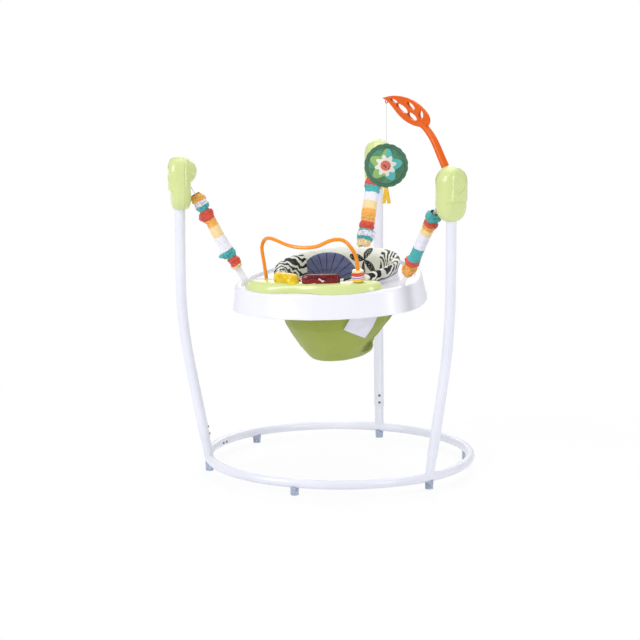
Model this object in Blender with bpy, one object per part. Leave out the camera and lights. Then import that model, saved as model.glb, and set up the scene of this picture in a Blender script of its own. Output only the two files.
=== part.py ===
"""Baby activity jumper: a three-legged frame, a play tray hung on three sleeved springs, and a swivel seat.

Blender 4.5, metres, +Z up. The object stands on the floor at z = 0 with its origin under the
middle of its box, and the toy console faces -Y. Most sub-parts are modelled in the frame of what
carries them (a leg, a housing, a hanging strap, the tray or the seat) and placed by that frame.
"""

import math

import bmesh
import bpy
from mathutils import Matrix, Vector

# Clearances
FIT = 0.0003
SWIVEL_GAP = 0.0006
TRAY_GAP = 0.0006

# Base ring, in two halves that plug into each other at +X and -X
RING_RADIUS = 0.360
RING_TUBE_R = 0.0125
RING_HEIGHT = 0.031
RING_STEPS = 24
SQUARE_END = 0.002 / RING_RADIUS
RING_PLUG_R = 0.0098
RING_PLUG_LENGTH = 0.040
RING_SCREW_INSETS = (0.011, 0.031)

# Feet under the ring
FOOT_ANGLES = (30, 90, 150, 210, 270, 330)
FOOT_R = 0.0120
FOOT_FLARE = 0.0012

# Legs: a straight stub on the ring, then a tube that bends upright
LEG_ANGLES = {"left": 210.0, "right": 330.0, "back": 90.0}
LEG_TURNS = {"left": 0.0, "right": 0.0, "back": 22.0}
LEG_TUBE_R = 0.0140
LEG_LEAN = math.radians(10.8)
LEG_STRAIGHT = 0.270
LEG_BEND_R = 1.330
LEG_BEND_STEPS = 6
LEG_JOINT = 0.060
LEG_PLUG_LENGTH = 0.055
LEG_SCREW_PLACES = (0.010, 0.030)

# Screws
SCREW_HEAD_R = 0.0036
SCREW_HEAD_HEIGHT = 0.0016
SCREW_SHANK_R = 0.0016
SCREW_SHANK_LENGTH = 0.0085

# Spring housings on the leg tops
HOUSING_BOTTOM = 0.714
HOUSING_HEIGHT = 0.145
HOUSING_HALF_WIDTH = 0.039
HOUSING_IN = 0.028
HOUSING_OUT = 0.023
HOUSING_ROUND = 0.016
HOUSING_SPLIT = -0.010
SOCKET_DEPTH = 0.066
HUB_UP = 0.1045
HUB_R = 0.0385
HUB_DEPTH = 0.018
HUB_CENTRE_IN = 0.004
COVER_PROUD = 0.007
COVER_EDGE_UP = 0.055
COVER_INSET = 0.0015
COVER_ROUND = 0.019
DIMPLE_UP = 0.0995
DIMPLE_R = 0.0215
DIMPLE_DEPTH = 0.0014

# Hanger pins and what hangs on them
PIN_UP = 0.098
PIN_R = 0.0040
PIN_LENGTH = 0.046
STRAP_WIDTH = 0.018
STRAP_THICK = 0.0016
STRAP_EYE_WALL = 0.0018
STRAP_TWIST_START = 0.085
STRAP_TWIST_END = 0.200
TOGGLE_R = 0.0035
TOGGLE_LENGTH = 0.032
SLEEVE_SPANS = {"left": (0.062, 0.290), "right": (0.090, 0.298), "back": (0.068, 0.290)}
SLEEVE_R = 0.0165
SLEEVE_FOLD = 0.0032
SLEEVE_FOLDS = 5
SLEEVE_BORE_R = 0.0130
SLEEVE_CUFF = 0.012
SLEEVE_SIDES = 12
SPRING_R = 0.0110
SPRING_WALL = 0.0014
SPRING_SPAN = (0.094, 0.284)

# Play tray, a rounded triangle whose corners carry the straps. It hangs low towards the console
TRAY_CENTRE_Z = 0.529
TRAY_TILT = math.radians(5.8)
TRAY_LOW_SIDE = math.radians(243.0)
TRAY_DRIFT = (-0.0065, -0.002)
TRAY_SPIN = math.radians(2.2)
SEAT_OPENING_R = 0.146
TRAY_BAND = 0.116
TRAY_MEAN_R = SEAT_OPENING_R + TRAY_BAND
TRAY_LOBE = 0.0210
TRAY_SHIFT = (-0.0072, -0.0025)
TRAY_DEPTH = 0.066
TRAY_WALL_DRAFT = 0.0077
TRAY_SHOULDER_DROP = 0.008
TRAY_RIM_WIDTH = 0.0163
TRAY_FLOOR_DROP = 0.008
TRAY_WALL = 0.003
TRAY_LIP = 0.0015
TRAY_SECTIONS = 36
STRAP_ANCHOR_IN = 0.018
STRAP_ANCHOR_R = TRAY_MEAN_R - STRAP_ANCHOR_IN
SLOT_CLEARANCE = 0.0018

# Seat ring that turns in the tray's collar, and its fabric
SEAT_RING_WALL = 0.003
SEAT_FLANGE = 0.016
SEAT_FLANGE_THICK = 0.003
SEAT_SKIRT = 0.034
COLLAR_DEPTH = 0.028
COLLAR_LAND = 0.004
SEAT_CATCH = 0.0022
SEAT_HEADING = math.radians(265.0)
PAD_FRONT_HEIGHT = 0.015
PAD_BACK_HEIGHT = 0.044
PAD_OVERHANG = 0.0262
PAD_BULGE_R = SEAT_OPENING_R + PAD_OVERHANG
PAD_THICK = 0.028
PAD_FLAP = 0.018
PAD_SECTIONS = 32
SLING_DEPTH = 0.188
SLING_WALL = 0.003
SLING_BOTTOM_R = 0.104
SLING_SEGMENTS = 22
LEG_HOLE_TURN = math.radians(92.0)
LEG_HOLE_HALF_WIDTH = 0.075
LEG_HOLE_HALF_HEIGHT = 0.070
LEG_HOLE_DOWN = 0.102
SLING_NARROWING = 0.03
LABEL_WIDTH = 0.080
LABEL_LENGTH = 0.080
LABEL_THICK = 0.0008
LABEL_TURN = math.radians(52.0)
LABEL_SKEW = math.radians(27.0)

# Toy console on the tray
CONSOLE_START = math.radians(211.5)
CONSOLE_END = math.radians(318.0)
CONSOLE_HEIGHT = 0.0245
CONSOLE_WALL = 0.0025
CONSOLE_TO_PAD = 0.0033
CONSOLE_INNER_R = PAD_BULGE_R + CONSOLE_TO_PAD
CONSOLE_EDGE = 0.003
CONSOLE_WAIST = 0.017
CONSOLE_WAIST_AT = math.radians(258.0)
CONSOLE_WAIST_SPREAD = math.radians(13.0)
CONSOLE_SECTIONS = 16
CONSOLE_ARCH_STEPS = 7
CONSOLE_LOW = -0.012
CONSOLE_BASE_TOP = 0.0035
BOARD_THICK = 0.0016
BOARD_UP = 0.0040
BOARD_HALF_LENGTH = 0.045
BOARD_HALF_WIDTH = 0.0085
BUTTON_HEIGHT = 0.022
BUTTON_TRAVEL = 0.003
BUTTON_FLANGE = 0.002
BUTTON_WALL = 0.0022
YELLOW_AT = (math.radians(245.1), CONSOLE_INNER_R + 0.0248)
YELLOW_HALF = (0.0415, 0.0158)
RED_AT = (math.radians(274.7), CONSOLE_INNER_R + 0.0210)
RED_HALF = (0.0520, 0.0115)

# Bead bar and its beads
BAR_R = 0.0050
BAR_LEFT_FOOT = (-0.1575, -0.1320)
BAR_RIGHT_FOOT = (0.1155, -0.1840)
BAR_POINTS = (
    (-0.1625, -0.1280, 0.0724),
    (-0.1675, -0.1200, 0.1028),
    (-0.1565, -0.1295, 0.1240),
    (-0.1373, -0.1487, 0.1351),
    (-0.1108, -0.1700, 0.1347),
    (-0.0807, -0.1882, 0.1277),
    (-0.0496, -0.2007, 0.1222),
    (-0.0203, -0.2075, 0.1214),
    (0.0027, -0.2098, 0.1224),
    (0.0225, -0.2097, 0.1265),
    (0.0495, -0.2062, 0.1379),
    (0.0754, -0.2004, 0.1411),
    (0.0946, -0.1949, 0.1306),
    (0.1095, -0.1880, 0.1042),
    (0.1143, -0.1848, 0.0850),
)
BEAD_R = 0.0180
BEAD_HEIGHT = 0.0078
BEAD_TRAVEL = 0.012

# Toy arm plugged into the right housing, and the soft toy that hangs from it
STEM_R = 0.0105
STEM_TOP_R = 0.0088
STEM_PLUG = 0.016
STEM_POINTS = ((-0.024, 0.139), (-0.046, 0.172), (-0.069, 0.205), (-0.095, 0.230), (-0.122, 0.246))
LEAF_THICK = 0.0085
LEAF_OUTLINE = (
    (-0.272, 0.302),
    (-0.225, 0.311),
    (-0.172, 0.308),
    (-0.125, 0.292),
    (-0.093, 0.270),
    (-0.086, 0.250),
    (-0.102, 0.236),
    (-0.138, 0.237),
    (-0.170, 0.244),
    (-0.200, 0.258),
    (-0.228, 0.279),
    (-0.250, 0.295),
)
LEAF_HOLES = (
    (-0.190, 0.2795, 0.0245, 0.0085, -22),
    (-0.150, 0.2610, 0.0200, 0.0080, -22),
    (-0.1165, 0.2680, 0.0095, 0.0120, 10),
    (-0.155, 0.2880, 0.0170, 0.0065, -28),
    (-0.222, 0.2975, 0.0150, 0.0040, -14),
)
HOOK_AT = (-0.2560, 0.2935)
HOOK_R = 0.0042
HOOK_WIRE_R = 0.0014
STRING_R = 0.0006
STRING_LENGTH = 0.104
PLUSH_R = 0.0560
PLUSH_HALF_THICK = 0.0170
PLUSH_SCALLOP = 0.0022
PLUSH_SCALLOPS = 18
PLUSH_FACING = math.radians(289.5)
RIBBON_WIDTH = 0.010
RIBBON_LENGTH = 0.046
RIBBON_THICK = 0.0010
RIBBON_LEANS = (-8.0, 11.0)


class Build:
    """The collections that the object and its cutters go in."""

    parts = None
    cutters = None


# Scene and material helpers


def clear_scene():
    for obj in list(bpy.data.objects):
        bpy.data.objects.remove(obj, do_unlink=True)
    Build.parts = bpy.data.collections.new("baby_activity_jumper")
    Build.cutters = bpy.data.collections.new("cutters")
    for collection in (Build.parts, Build.cutters):
        bpy.context.scene.collection.children.link(collection)


def material(name, colour, roughness, metallic=0.0, transmission=0.0):
    made = bpy.data.materials.get(name)
    if made is None:
        made = bpy.data.materials.new(name)
        made.use_nodes = True
        shader = made.node_tree.nodes["Principled BSDF"]
        shader.inputs["Base Color"].default_value = (*colour, 1.0)
        shader.inputs["Roughness"].default_value = roughness
        shader.inputs["Metallic"].default_value = metallic
        shader.inputs["Transmission Weight"].default_value = transmission
        made.diffuse_color = (*colour, 1.0)
    return made


def white_paint():
    return material("white_paint", (0.85, 0.85, 0.89), 0.30)


def white_plastic():
    return material("white_plastic", (0.84, 0.84, 0.89), 0.35)


def lime_plastic():
    return material("lime_plastic", (0.69, 0.79, 0.33), 0.22)


def steel():
    return material("dark_steel", (0.20, 0.20, 0.21), 0.35, 1.0)


def smooth(mesh, degrees=35.0):
    mesh.shade_smooth()
    mesh.set_sharp_from_angle(angle=math.radians(degrees))


def add_object(name, mesh, mat, collection=None):
    obj = bpy.data.objects.new(name, mesh)
    mesh.materials.clear()
    mesh.materials.append(mat)
    (collection or Build.parts).objects.link(obj)
    return obj


def mesh_object(name, bm, mat, collection=None):
    """An object of a closed bmesh, with its faces turned outwards."""
    bmesh.ops.recalc_face_normals(bm, faces=bm.faces)
    mesh = bpy.data.meshes.new(name)
    bm.to_mesh(mesh)
    bm.free()
    smooth(mesh)
    return add_object(name, mesh, mat, collection)


def helper(name, bm, matrix=None):
    """A shape that only cuts or joins another, so it isn't part of the object."""
    obj = mesh_object(name, bm, material("cutter", (1.0, 0.3, 0.1), 0.5), Build.cutters)
    return as_helper(obj, matrix)


def as_helper(obj, matrix=None):
    obj.hide_render = True
    obj.display_type = "WIRE"
    if matrix is not None:
        obj.matrix_world = matrix
    return obj


def shape_with(obj, other, operation="DIFFERENCE"):
    modifier = obj.modifiers.new(f"{operation.lower()} {other.name}", "BOOLEAN")
    modifier.operation = operation
    modifier.solver = "EXACT"
    modifier.object = other


def bake(obj):
    """Puts the object's evaluated shape in its mesh, so that copies can share it."""
    graph = bpy.context.evaluated_depsgraph_get()
    mesh = bpy.data.meshes.new_from_object(obj.evaluated_get(graph))
    mat = obj.data.materials[0]
    obj.modifiers.clear()
    obj.data = mesh
    mesh.materials.clear()
    mesh.materials.append(mat)
    smooth(mesh)
    return obj


def placed_copy(name, mesh, matrix):
    obj = bpy.data.objects.new(name, mesh)
    Build.parts.objects.link(obj)
    obj.matrix_world = matrix
    return obj


def empty(name, matrix):
    obj = bpy.data.objects.new(name, None)
    Build.parts.objects.link(obj)
    obj.matrix_world = matrix
    return obj


def ride_on(obj, parent):
    """Places an object that was modelled in its parent's frame."""
    obj.parent = parent
    return obj


# Modelling helpers


def turn(angle):
    return Matrix.Rotation(angle, 4, "Z")


def smooth_path(points, per_span):
    """Points along a smooth curve through the given ones."""
    ends = [points[0] * 2 - points[1], *points, points[-1] * 2 - points[-2]]
    path = []
    for before, start, end, after in zip(ends, ends[1:], ends[2:], ends[3:]):
        for step in range(per_span):
            t = step / per_span
            path.append(
                0.5
                * (
                    2 * start
                    + (end - before) * t
                    + (2 * before - 5 * start + 4 * end - after) * t**2
                    + (3 * start - before - 3 * end + after) * t**3
                )
            )
    return [*path, points[-1]]


def tube_curve(name, points, radius, mat, resolution=4, factors=None, collection=None):
    curve = bpy.data.curves.new(name, "CURVE")
    curve.dimensions = "3D"
    curve.bevel_depth = radius
    curve.bevel_resolution = resolution
    curve.use_fill_caps = True
    spline = curve.splines.new("POLY")
    spline.points.add(len(points) - 1)
    for place, point, factor in zip(spline.points, points, factors or [1.0] * len(points)):
        place.co = (*point, 1.0)
        place.radius = factor
    obj = bpy.data.objects.new(name, curve)
    curve.materials.append(mat)
    (collection or Build.parts).objects.link(obj)
    return obj


def curve_to_mesh(obj):
    """The curve as a welded mesh object of the same name and place."""
    graph = bpy.context.evaluated_depsgraph_get()
    mesh = bpy.data.meshes.new_from_object(obj.evaluated_get(graph))
    bm = bmesh.new()
    bm.from_mesh(mesh)
    bmesh.ops.remove_doubles(bm, verts=bm.verts, dist=1e-6)
    bmesh.ops.recalc_face_normals(bm, faces=bm.faces)
    bm.to_mesh(mesh)
    bm.free()
    smooth(mesh)
    name, matrix, home = obj.name, obj.matrix_world.copy(), obj.users_collection[0]
    bpy.data.objects.remove(obj, do_unlink=True)
    made = bpy.data.objects.new(name, mesh)
    home.objects.link(made)
    made.matrix_world = matrix
    return made


def tube(name, points, radius, mat, resolution=4, factors=None):
    return curve_to_mesh(tube_curve(name, points, radius, mat, resolution, factors))


def loft(rings, closed=False):
    """A skin over rings of as many points each, capped at both ends or joined last to first."""
    bm = bmesh.new()
    loops = [[bm.verts.new(point) for point in ring] for ring in rings]
    following = loops[1:] + (loops[:1] if closed else [])
    for near, far in zip(loops, following):
        for index in range(len(near)):
            after = (index + 1) % len(near)
            bm.faces.new((near[index], near[after], far[after], far[index]))
    if not closed:
        bm.faces.new(loops[0])
        bm.faces.new(loops[-1])
    return bm


def box(low, high):
    bm = bmesh.new()
    bmesh.ops.create_cube(bm, size=1.0)
    size = Vector(high) - Vector(low)
    bmesh.ops.scale(bm, vec=size, verts=bm.verts)
    bmesh.ops.translate(bm, vec=(Vector(high) + Vector(low)) / 2, verts=bm.verts)
    return bm


def rod(radius, low, high, sides=20, top_radius=None):
    """A cylinder or cone along Z between two heights."""
    bm = bmesh.new()
    bmesh.ops.create_cone(
        bm,
        cap_ends=True,
        segments=sides,
        radius1=radius,
        radius2=radius if top_radius is None else top_radius,
        depth=high - low,
    )
    bmesh.ops.translate(bm, vec=(0.0, 0.0, (low + high) / 2), verts=bm.verts)
    return bm


def turned(profile, sides, closed=True):
    """A profile of (radius, height) turned about Z. An open profile starts and ends on the axis."""
    bm = bmesh.new()
    verts = [bm.verts.new((radius, 0.0, height)) for radius, height in profile]
    edges = [bm.edges.new(pair) for pair in zip(verts, verts[1:])]
    if closed:
        edges.append(bm.edges.new((verts[-1], verts[0])))
    bmesh.ops.spin(
        bm,
        geom=verts + edges,
        cent=(0.0, 0.0, 0.0),
        axis=(0.0, 0.0, 1.0),
        angle=math.tau,
        steps=sides,
        use_merge=True,
    )
    bmesh.ops.remove_doubles(bm, verts=bm.verts, dist=1e-6)
    return bm


def slab(outline, low, high, rounding=0.0, segments=2, round_low=True):
    """An outline in X and Y made a plate between two heights, with rounded edges if asked."""
    bm = bmesh.new()
    face = bm.faces.new([bm.verts.new((x, y, low)) for x, y in outline])
    lifted = bmesh.ops.extrude_face_region(bm, geom=[face])
    top = [item for item in lifted["geom"] if isinstance(item, bmesh.types.BMVert)]
    bmesh.ops.translate(bm, vec=(0.0, 0.0, high - low), verts=top)
    if rounding:
        rims = [
            edge
            for edge in bm.edges
            if abs(edge.verts[0].co.z - edge.verts[1].co.z) < 1e-7
            and (round_low or edge.verts[0].co.z > (low + high) / 2)
        ]
        bmesh.ops.bevel(
            bm,
            geom=rims,
            offset=rounding,
            segments=segments,
            profile=0.5,
            affect="EDGES",
            material=-1,
        )
    return bm


def oval(half_length, half_width, count, power=2.0):
    """Points round an oval; a power over 2 squares it off."""
    points = []
    for index in range(count):
        angle = math.tau * index / count
        across, along = math.cos(angle), math.sin(angle)
        points.append(
            (
                math.copysign(abs(across) ** (2 / power), across) * half_length,
                math.copysign(abs(along) ** (2 / power), along) * half_width,
            )
        )
    return points


def stadium(half_width, low, high, steps=8):
    """An upright outline with round ends, in (across, up)."""
    points = []
    for centre, start in ((high - half_width, 0.0), (low + half_width, math.pi)):
        for step in range(steps + 1):
            angle = start + math.pi * step / steps
            points.append((half_width * math.cos(angle), centre + half_width * math.sin(angle)))
    return points


# Frames of the main sub-assemblies


def ring_point(angle, radius=RING_RADIUS, height=RING_HEIGHT):
    return Vector((radius * math.cos(angle), radius * math.sin(angle), height))


def leg_point(along):
    """A point on a leg's centre line in its own plane, as (outwards, up), from the ring."""
    straight = min(along, LEG_STRAIGHT)
    out, up = straight * math.sin(LEG_LEAN), straight * math.cos(LEG_LEAN)
    bend = min(max(along - LEG_STRAIGHT, 0.0) / LEG_BEND_R, LEG_LEAN)
    out += LEG_BEND_R * (math.cos(LEG_LEAN - bend) - math.cos(LEG_LEAN))
    up += LEG_BEND_R * (math.sin(LEG_LEAN) - math.sin(LEG_LEAN - bend))
    up += max(along - LEG_STRAIGHT - LEG_BEND_R * LEG_LEAN, 0.0)
    return out, RING_HEIGHT + up


LEG_BEND_END = LEG_STRAIGHT + LEG_BEND_R * LEG_LEAN
LEG_SPREAD = leg_point(LEG_BEND_END)[0]
LEG_TOP = HOUSING_BOTTOM + SOCKET_DEPTH - FIT
LEG_LENGTH = LEG_BEND_END + LEG_TOP - leg_point(LEG_BEND_END)[1]
PIN_HEIGHT = HOUSING_BOTTOM + PIN_UP
PIN_OUT = HOUSING_SPLIT


def leg_foot(side):
    return ring_point(math.radians(LEG_ANGLES[side]), height=0.0)


def leg_bow(side):
    return math.radians(LEG_ANGLES[side] + LEG_TURNS[side])


def leg_top(side):
    bow = leg_bow(side)
    return leg_foot(side) + LEG_SPREAD * Vector((math.cos(bow), math.sin(bow), 0.0))


def back_reach():
    return leg_top("back").y + HOUSING_OUT + COVER_PROUD


# The ring's front and the back housing are about equally far from the origin. The housings' turns
# move the middle of the box by the trim
BOX_TRIM = Vector((-0.0005, -0.00055, 0.0))
RING_CENTRE = BOX_TRIM + Vector((0.0, (RING_RADIUS + RING_TUBE_R - back_reach()) / 2, 0.0))


def tray_matrix():
    """The tray's frame: its origin at the middle of its rim's top, its Z square to the rim."""
    centre = RING_CENTRE + Vector((*TRAY_DRIFT, TRAY_CENTRE_Z))
    level_axis = Vector((-math.sin(TRAY_LOW_SIDE), math.cos(TRAY_LOW_SIDE), 0.0))
    return Matrix.Translation(centre) @ Matrix.Rotation(TRAY_TILT, 4, level_axis) @ turn(TRAY_SPIN)


def seat_matrix():
    return tray_matrix() @ turn(SEAT_HEADING)


def leg_matrix(side):
    return Matrix.Translation(RING_CENTRE + leg_foot(side)) @ turn(leg_bow(side))


def anchor_point(side):
    """Where a strap reaches the tray's floor, at one corner of the tray."""
    angle = math.radians(LEG_ANGLES[side])
    local = Vector((STRAP_ANCHOR_R * math.cos(angle), STRAP_ANCHOR_R * math.sin(angle), -TRAY_FLOOR_DROP))
    return tray_matrix() @ local


def housing_angle(side):
    outwards = RING_CENTRE + leg_top(side) - anchor_point(side)
    return math.atan2(outwards.y, outwards.x)


def housing_matrix(side):
    return Matrix.Translation(RING_CENTRE + leg_top(side)) @ turn(housing_angle(side))


def pin_point(side):
    return housing_matrix(side) @ Vector((PIN_OUT, 0.0, PIN_HEIGHT))


def hanging_matrix(side):
    """A strap's frame: its origin on the hanger pin, its Z down the strap, its Y along the pin."""
    start = pin_point(side)
    down = (anchor_point(side) - start).normalized()
    angle = housing_angle(side)
    across = Vector((-math.sin(angle), math.cos(angle), 0.0))
    inwards = across.cross(down)
    matrix = Matrix((inwards, across, down)).transposed().to_4x4()
    matrix.translation = start
    return matrix


def strap_length(side):
    return (anchor_point(side) - pin_point(side)).length


# Base ring, feet and legs


def ring_arc(start, end, steps):
    return [RING_CENTRE + ring_point(start + (end - start) * step / steps) for step in range(steps + 1)]


def half_ring(start, end):
    """Half the ring between two joints, with a short first and last piece so that its ends are square."""
    step = math.pi / RING_STEPS
    first = round(start / step)
    inside = [(first + number) * step for number in range(1, RING_STEPS)]
    angles = [start, start + SQUARE_END, *inside, end - SQUARE_END, end]
    return [RING_CENTRE + ring_point(angle) for angle in angles]


def build_stub(side):
    """The short straight tube welded to the ring, whose upper end plugs into the leg."""
    points = [Vector((*leg_point(along), 0.0)).xzy for along in (0.0, LEG_JOINT + LEG_PLUG_LENGTH)]
    stub = tube(f"stub_{side}", points, RING_TUBE_R, white_paint())
    return as_helper(stub, leg_matrix(side))


def build_ring():
    plug_turn = RING_PLUG_LENGTH / RING_RADIUS
    step_turn = 0.0004 / RING_RADIUS
    plug_factor = RING_PLUG_R / RING_TUBE_R

    arc = half_ring(math.pi + step_turn, math.tau - step_turn)
    before = ring_arc(math.pi - plug_turn, math.pi, 2)
    after = ring_arc(0.0, plug_turn, 2)
    points = before + arc + after
    factors = [plug_factor] * len(before) + [1.0] * len(arc) + [plug_factor] * len(after)
    front = tube("base_ring_front", points, RING_TUBE_R, white_paint(), factors=factors)
    for side in ("left", "right"):
        shape_with(front, build_stub(side), "UNION")

    gap_turn = FIT / RING_RADIUS
    points = half_ring(gap_turn, math.pi - gap_turn)
    back = tube("base_ring_back", points, RING_TUBE_R, white_paint())
    shape_with(back, build_stub("back"), "UNION")
    bore_turn = plug_turn + gap_turn
    for name, start, end in (
        ("ring_bore_right", -gap_turn, bore_turn),
        ("ring_bore_left", math.pi + gap_turn, math.pi - bore_turn),
    ):
        bore_r = RING_PLUG_R / math.cos(math.pi / 12) + FIT
        bore = tube(name, ring_arc(start, end, 3), bore_r, white_paint())
        shape_with(back, as_helper(bore))
    for obj in (front, back):
        bake(obj)


def foot_body():
    """A soft cap that stands on the floor and saddles the lower half of the ring."""
    top = RING_HEIGHT
    foot = mesh_object(
        "foot_1",
        rod(FOOT_R - FOOT_FLARE, 0.0, top, sides=14, top_radius=FOOT_R),
        material("foot_rubber", (0.30, 0.37, 0.47), 0.45),
    )
    step = math.pi / RING_STEPS
    points = [ring_point(number * step) - Vector((RING_RADIUS, 0.0, 0.0)) for number in (-2, -1, 0, 1, 2)]
    saddle_r = RING_TUBE_R / math.cos(math.pi / 12) + FIT
    saddle = tube("foot_saddle", points, saddle_r, white_paint())
    shape_with(foot, as_helper(saddle))
    return bake(foot)


def build_feet():
    foot = foot_body()
    for number, degrees in enumerate(FOOT_ANGLES, 1):
        angle = math.radians(degrees)
        matrix = Matrix.Translation(RING_CENTRE + ring_point(angle, height=0.0)) @ turn(angle)
        if number == 1:
            foot.matrix_world = matrix
        else:
            placed_copy(f"foot_{number}", foot.data, matrix)


def leg_mesh():
    alongs = [LEG_JOINT, LEG_STRAIGHT]
    alongs += [LEG_STRAIGHT + LEG_BEND_R * LEG_LEAN * step / LEG_BEND_STEPS for step in range(1, LEG_BEND_STEPS + 1)]
    alongs.append(LEG_LENGTH)
    points = [Vector((out, 0.0, up)) for out, up in map(leg_point, alongs)]
    leg = tube("leg_left", points, LEG_TUBE_R, white_paint())
    reach = (LEG_JOINT - RING_TUBE_R, LEG_JOINT + LEG_PLUG_LENGTH + FIT)
    points = [Vector((out, 0.0, up)) for out, up in map(leg_point, reach)]
    bore = tube("leg_bore", points, RING_TUBE_R + FIT, white_paint())
    shape_with(leg, as_helper(bore))
    return bake(leg)


def screw_bm():
    """A pan-head screw: its axis is Z, its head's underside at z = 0 and its head above."""
    profile = (
        (0.0, -SCREW_SHANK_LENGTH),
        (SCREW_SHANK_R, -SCREW_SHANK_LENGTH),
        (SCREW_SHANK_R, 0.0),
        (SCREW_HEAD_R, 0.0),
        (SCREW_HEAD_R * 0.8, SCREW_HEAD_HEIGHT),
        (0.0, SCREW_HEAD_HEIGHT),
    )
    return turned(profile, 8, closed=False)


def screw_hole(name, matrix):
    """Room for the shank, turned so that none of its faces lies along a face of the tube."""
    bm = rod(SCREW_SHANK_R + FIT, -SCREW_SHANK_LENGTH - FIT, SCREW_HEAD_HEIGHT, sides=10)
    return helper(name, bm, matrix @ turn(0.2))


def leg_screw_matrix(side, along):
    """A screw through the leg from the side that faces the middle of the ring."""
    out, up = leg_point(along)
    lean = Matrix.Rotation(LEG_LEAN, 4, "Y")
    sideways = Matrix.Rotation(-math.pi / 2, 4, "Y")
    seat = Matrix.Translation((0.0, 0.0, LEG_TUBE_R + FIT))
    return leg_matrix(side) @ Matrix.Translation((out, 0.0, up)) @ lean @ sideways @ seat


def ring_screw_matrix(angle):
    """A screw through the ring's joint, its head on the inner side."""
    sideways = Matrix.Rotation(-math.pi / 2, 4, "Y")
    seat = Matrix.Translation((0.0, 0.0, RING_TUBE_R + 3 * FIT))
    return Matrix.Translation(RING_CENTRE + ring_point(angle)) @ turn(angle) @ sideways @ seat


def build_legs_and_screws():
    leg = leg_mesh()
    screw = mesh_object("screw", screw_bm(), steel())
    legs = {side: placed_copy(f"leg_{side}", leg.data, leg_matrix(side)) for side in LEG_ANGLES if side != "left"}
    leg.matrix_world = leg_matrix("left")
    legs["left"] = leg
    front, back = bpy.data.objects["base_ring_front"], bpy.data.objects["base_ring_back"]
    rings = {"left": front, "right": front, "back": back}
    for side, obj in legs.items():
        if obj.data.users > 1:
            obj.data = obj.data.copy()
        for number, place in enumerate(LEG_SCREW_PLACES, 1):
            matrix = leg_screw_matrix(side, LEG_JOINT + place)
            hole = screw_hole(f"leg_screw_hole_{side}_{number}", matrix)
            shape_with(obj, hole)
            shape_with(rings[side], hole)
            placed_copy(f"leg_screw_{side}_{number}", screw.data, matrix)
    for side, start, sign in (("right", 0.0, 1), ("left", math.pi, -1)):
        for number, inset in enumerate(RING_SCREW_INSETS, 1):
            matrix = ring_screw_matrix(start + sign * inset / RING_RADIUS)
            hole = screw_hole(f"ring_screw_hole_{side}_{number}", matrix)
            shape_with(front, hole)
            shape_with(back, hole)
            placed_copy(f"ring_screw_{side}_{number}", screw.data, matrix)
    bpy.data.objects.remove(screw, do_unlink=True)


# Spring housings


def upright(bm, matrix=Matrix.Identity(4)):
    """Turns a plate drawn in (across, up) and built along Z so that its thickness runs along X."""
    swap = Matrix(((0, 0, 1, 0), (1, 0, 0, 0), (0, 1, 0, 0), (0, 0, 0, 1)))
    bmesh.ops.transform(bm, matrix=matrix @ swap, verts=bm.verts)
    return bm


def housing_cutters():
    """The leg's socket, the pin's bore, the room round the strap's eye and the strap's way out."""
    leg = rod(LEG_TUBE_R + FIT, HOUSING_BOTTOM - 0.01, HOUSING_BOTTOM + SOCKET_DEPTH)
    pin = rod(PIN_R + FIT, -PIN_LENGTH / 2 - FIT, PIN_LENGTH / 2 + FIT, sides=16)
    bmesh.ops.transform(
        pin,
        matrix=Matrix.Translation((PIN_OUT, 0.0, PIN_HEIGHT)) @ Matrix.Rotation(math.pi / 2, 4, "X"),
        verts=pin.verts,
    )
    eye_room = PIN_R + STRAP_EYE_WALL + 3 * FIT
    half = STRAP_WIDTH / 2 + 2 * FIT
    room = rod(eye_room, -half, half, sides=20)
    bmesh.ops.transform(
        room,
        matrix=Matrix.Translation((PIN_OUT, 0.0, PIN_HEIGHT)) @ Matrix.Rotation(math.pi / 2, 4, "X"),
        verts=room.verts,
    )
    beside = half - FIT / 2
    way_out = box((-eye_room + FIT, -beside, 0.0), (eye_room - FIT, beside, 0.070))
    side = "left"
    strap_frame = housing_matrix(side).inverted() @ hanging_matrix(side)
    bmesh.ops.transform(way_out, matrix=strap_frame, verts=way_out.verts)
    named = (("socket_bore", leg), ("pin_bore", pin), ("eye_room", room), ("strap_way_out", way_out))
    return [helper(name, bm) for name, bm in named]


def housing_body(name):
    outline = stadium(HOUSING_HALF_WIDTH, HOUSING_BOTTOM, HOUSING_BOTTOM + HOUSING_HEIGHT)
    body = upright(slab(outline, -HOUSING_IN, HOUSING_OUT, HOUSING_ROUND))
    return mesh_object(name, body, lime_plastic())


def hub_dome():
    """The round boss on the housing's inner side, over the hanger pin: half a ball that runs into the housing's top."""
    steps = 6
    middle = HUB_CENTRE_IN - HOUSING_IN
    profile = [(0.0, middle)]
    for step in range(steps):
        angle = math.pi / 2 * step / steps
        profile.append((HUB_R * math.cos(angle), middle + (HUB_DEPTH - middle) * math.sin(angle)))
    profile.append((0.0, HUB_DEPTH))
    dome = turned(profile, 20, closed=False)
    inwards = Matrix.Translation((-HOUSING_IN, 0.0, HOUSING_BOTTOM + HUB_UP)) @ Matrix.Rotation(-math.pi / 2, 4, "Y")
    bmesh.ops.transform(dome, matrix=inwards, verts=dome.verts)
    return helper("hub_dome", dome)


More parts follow.
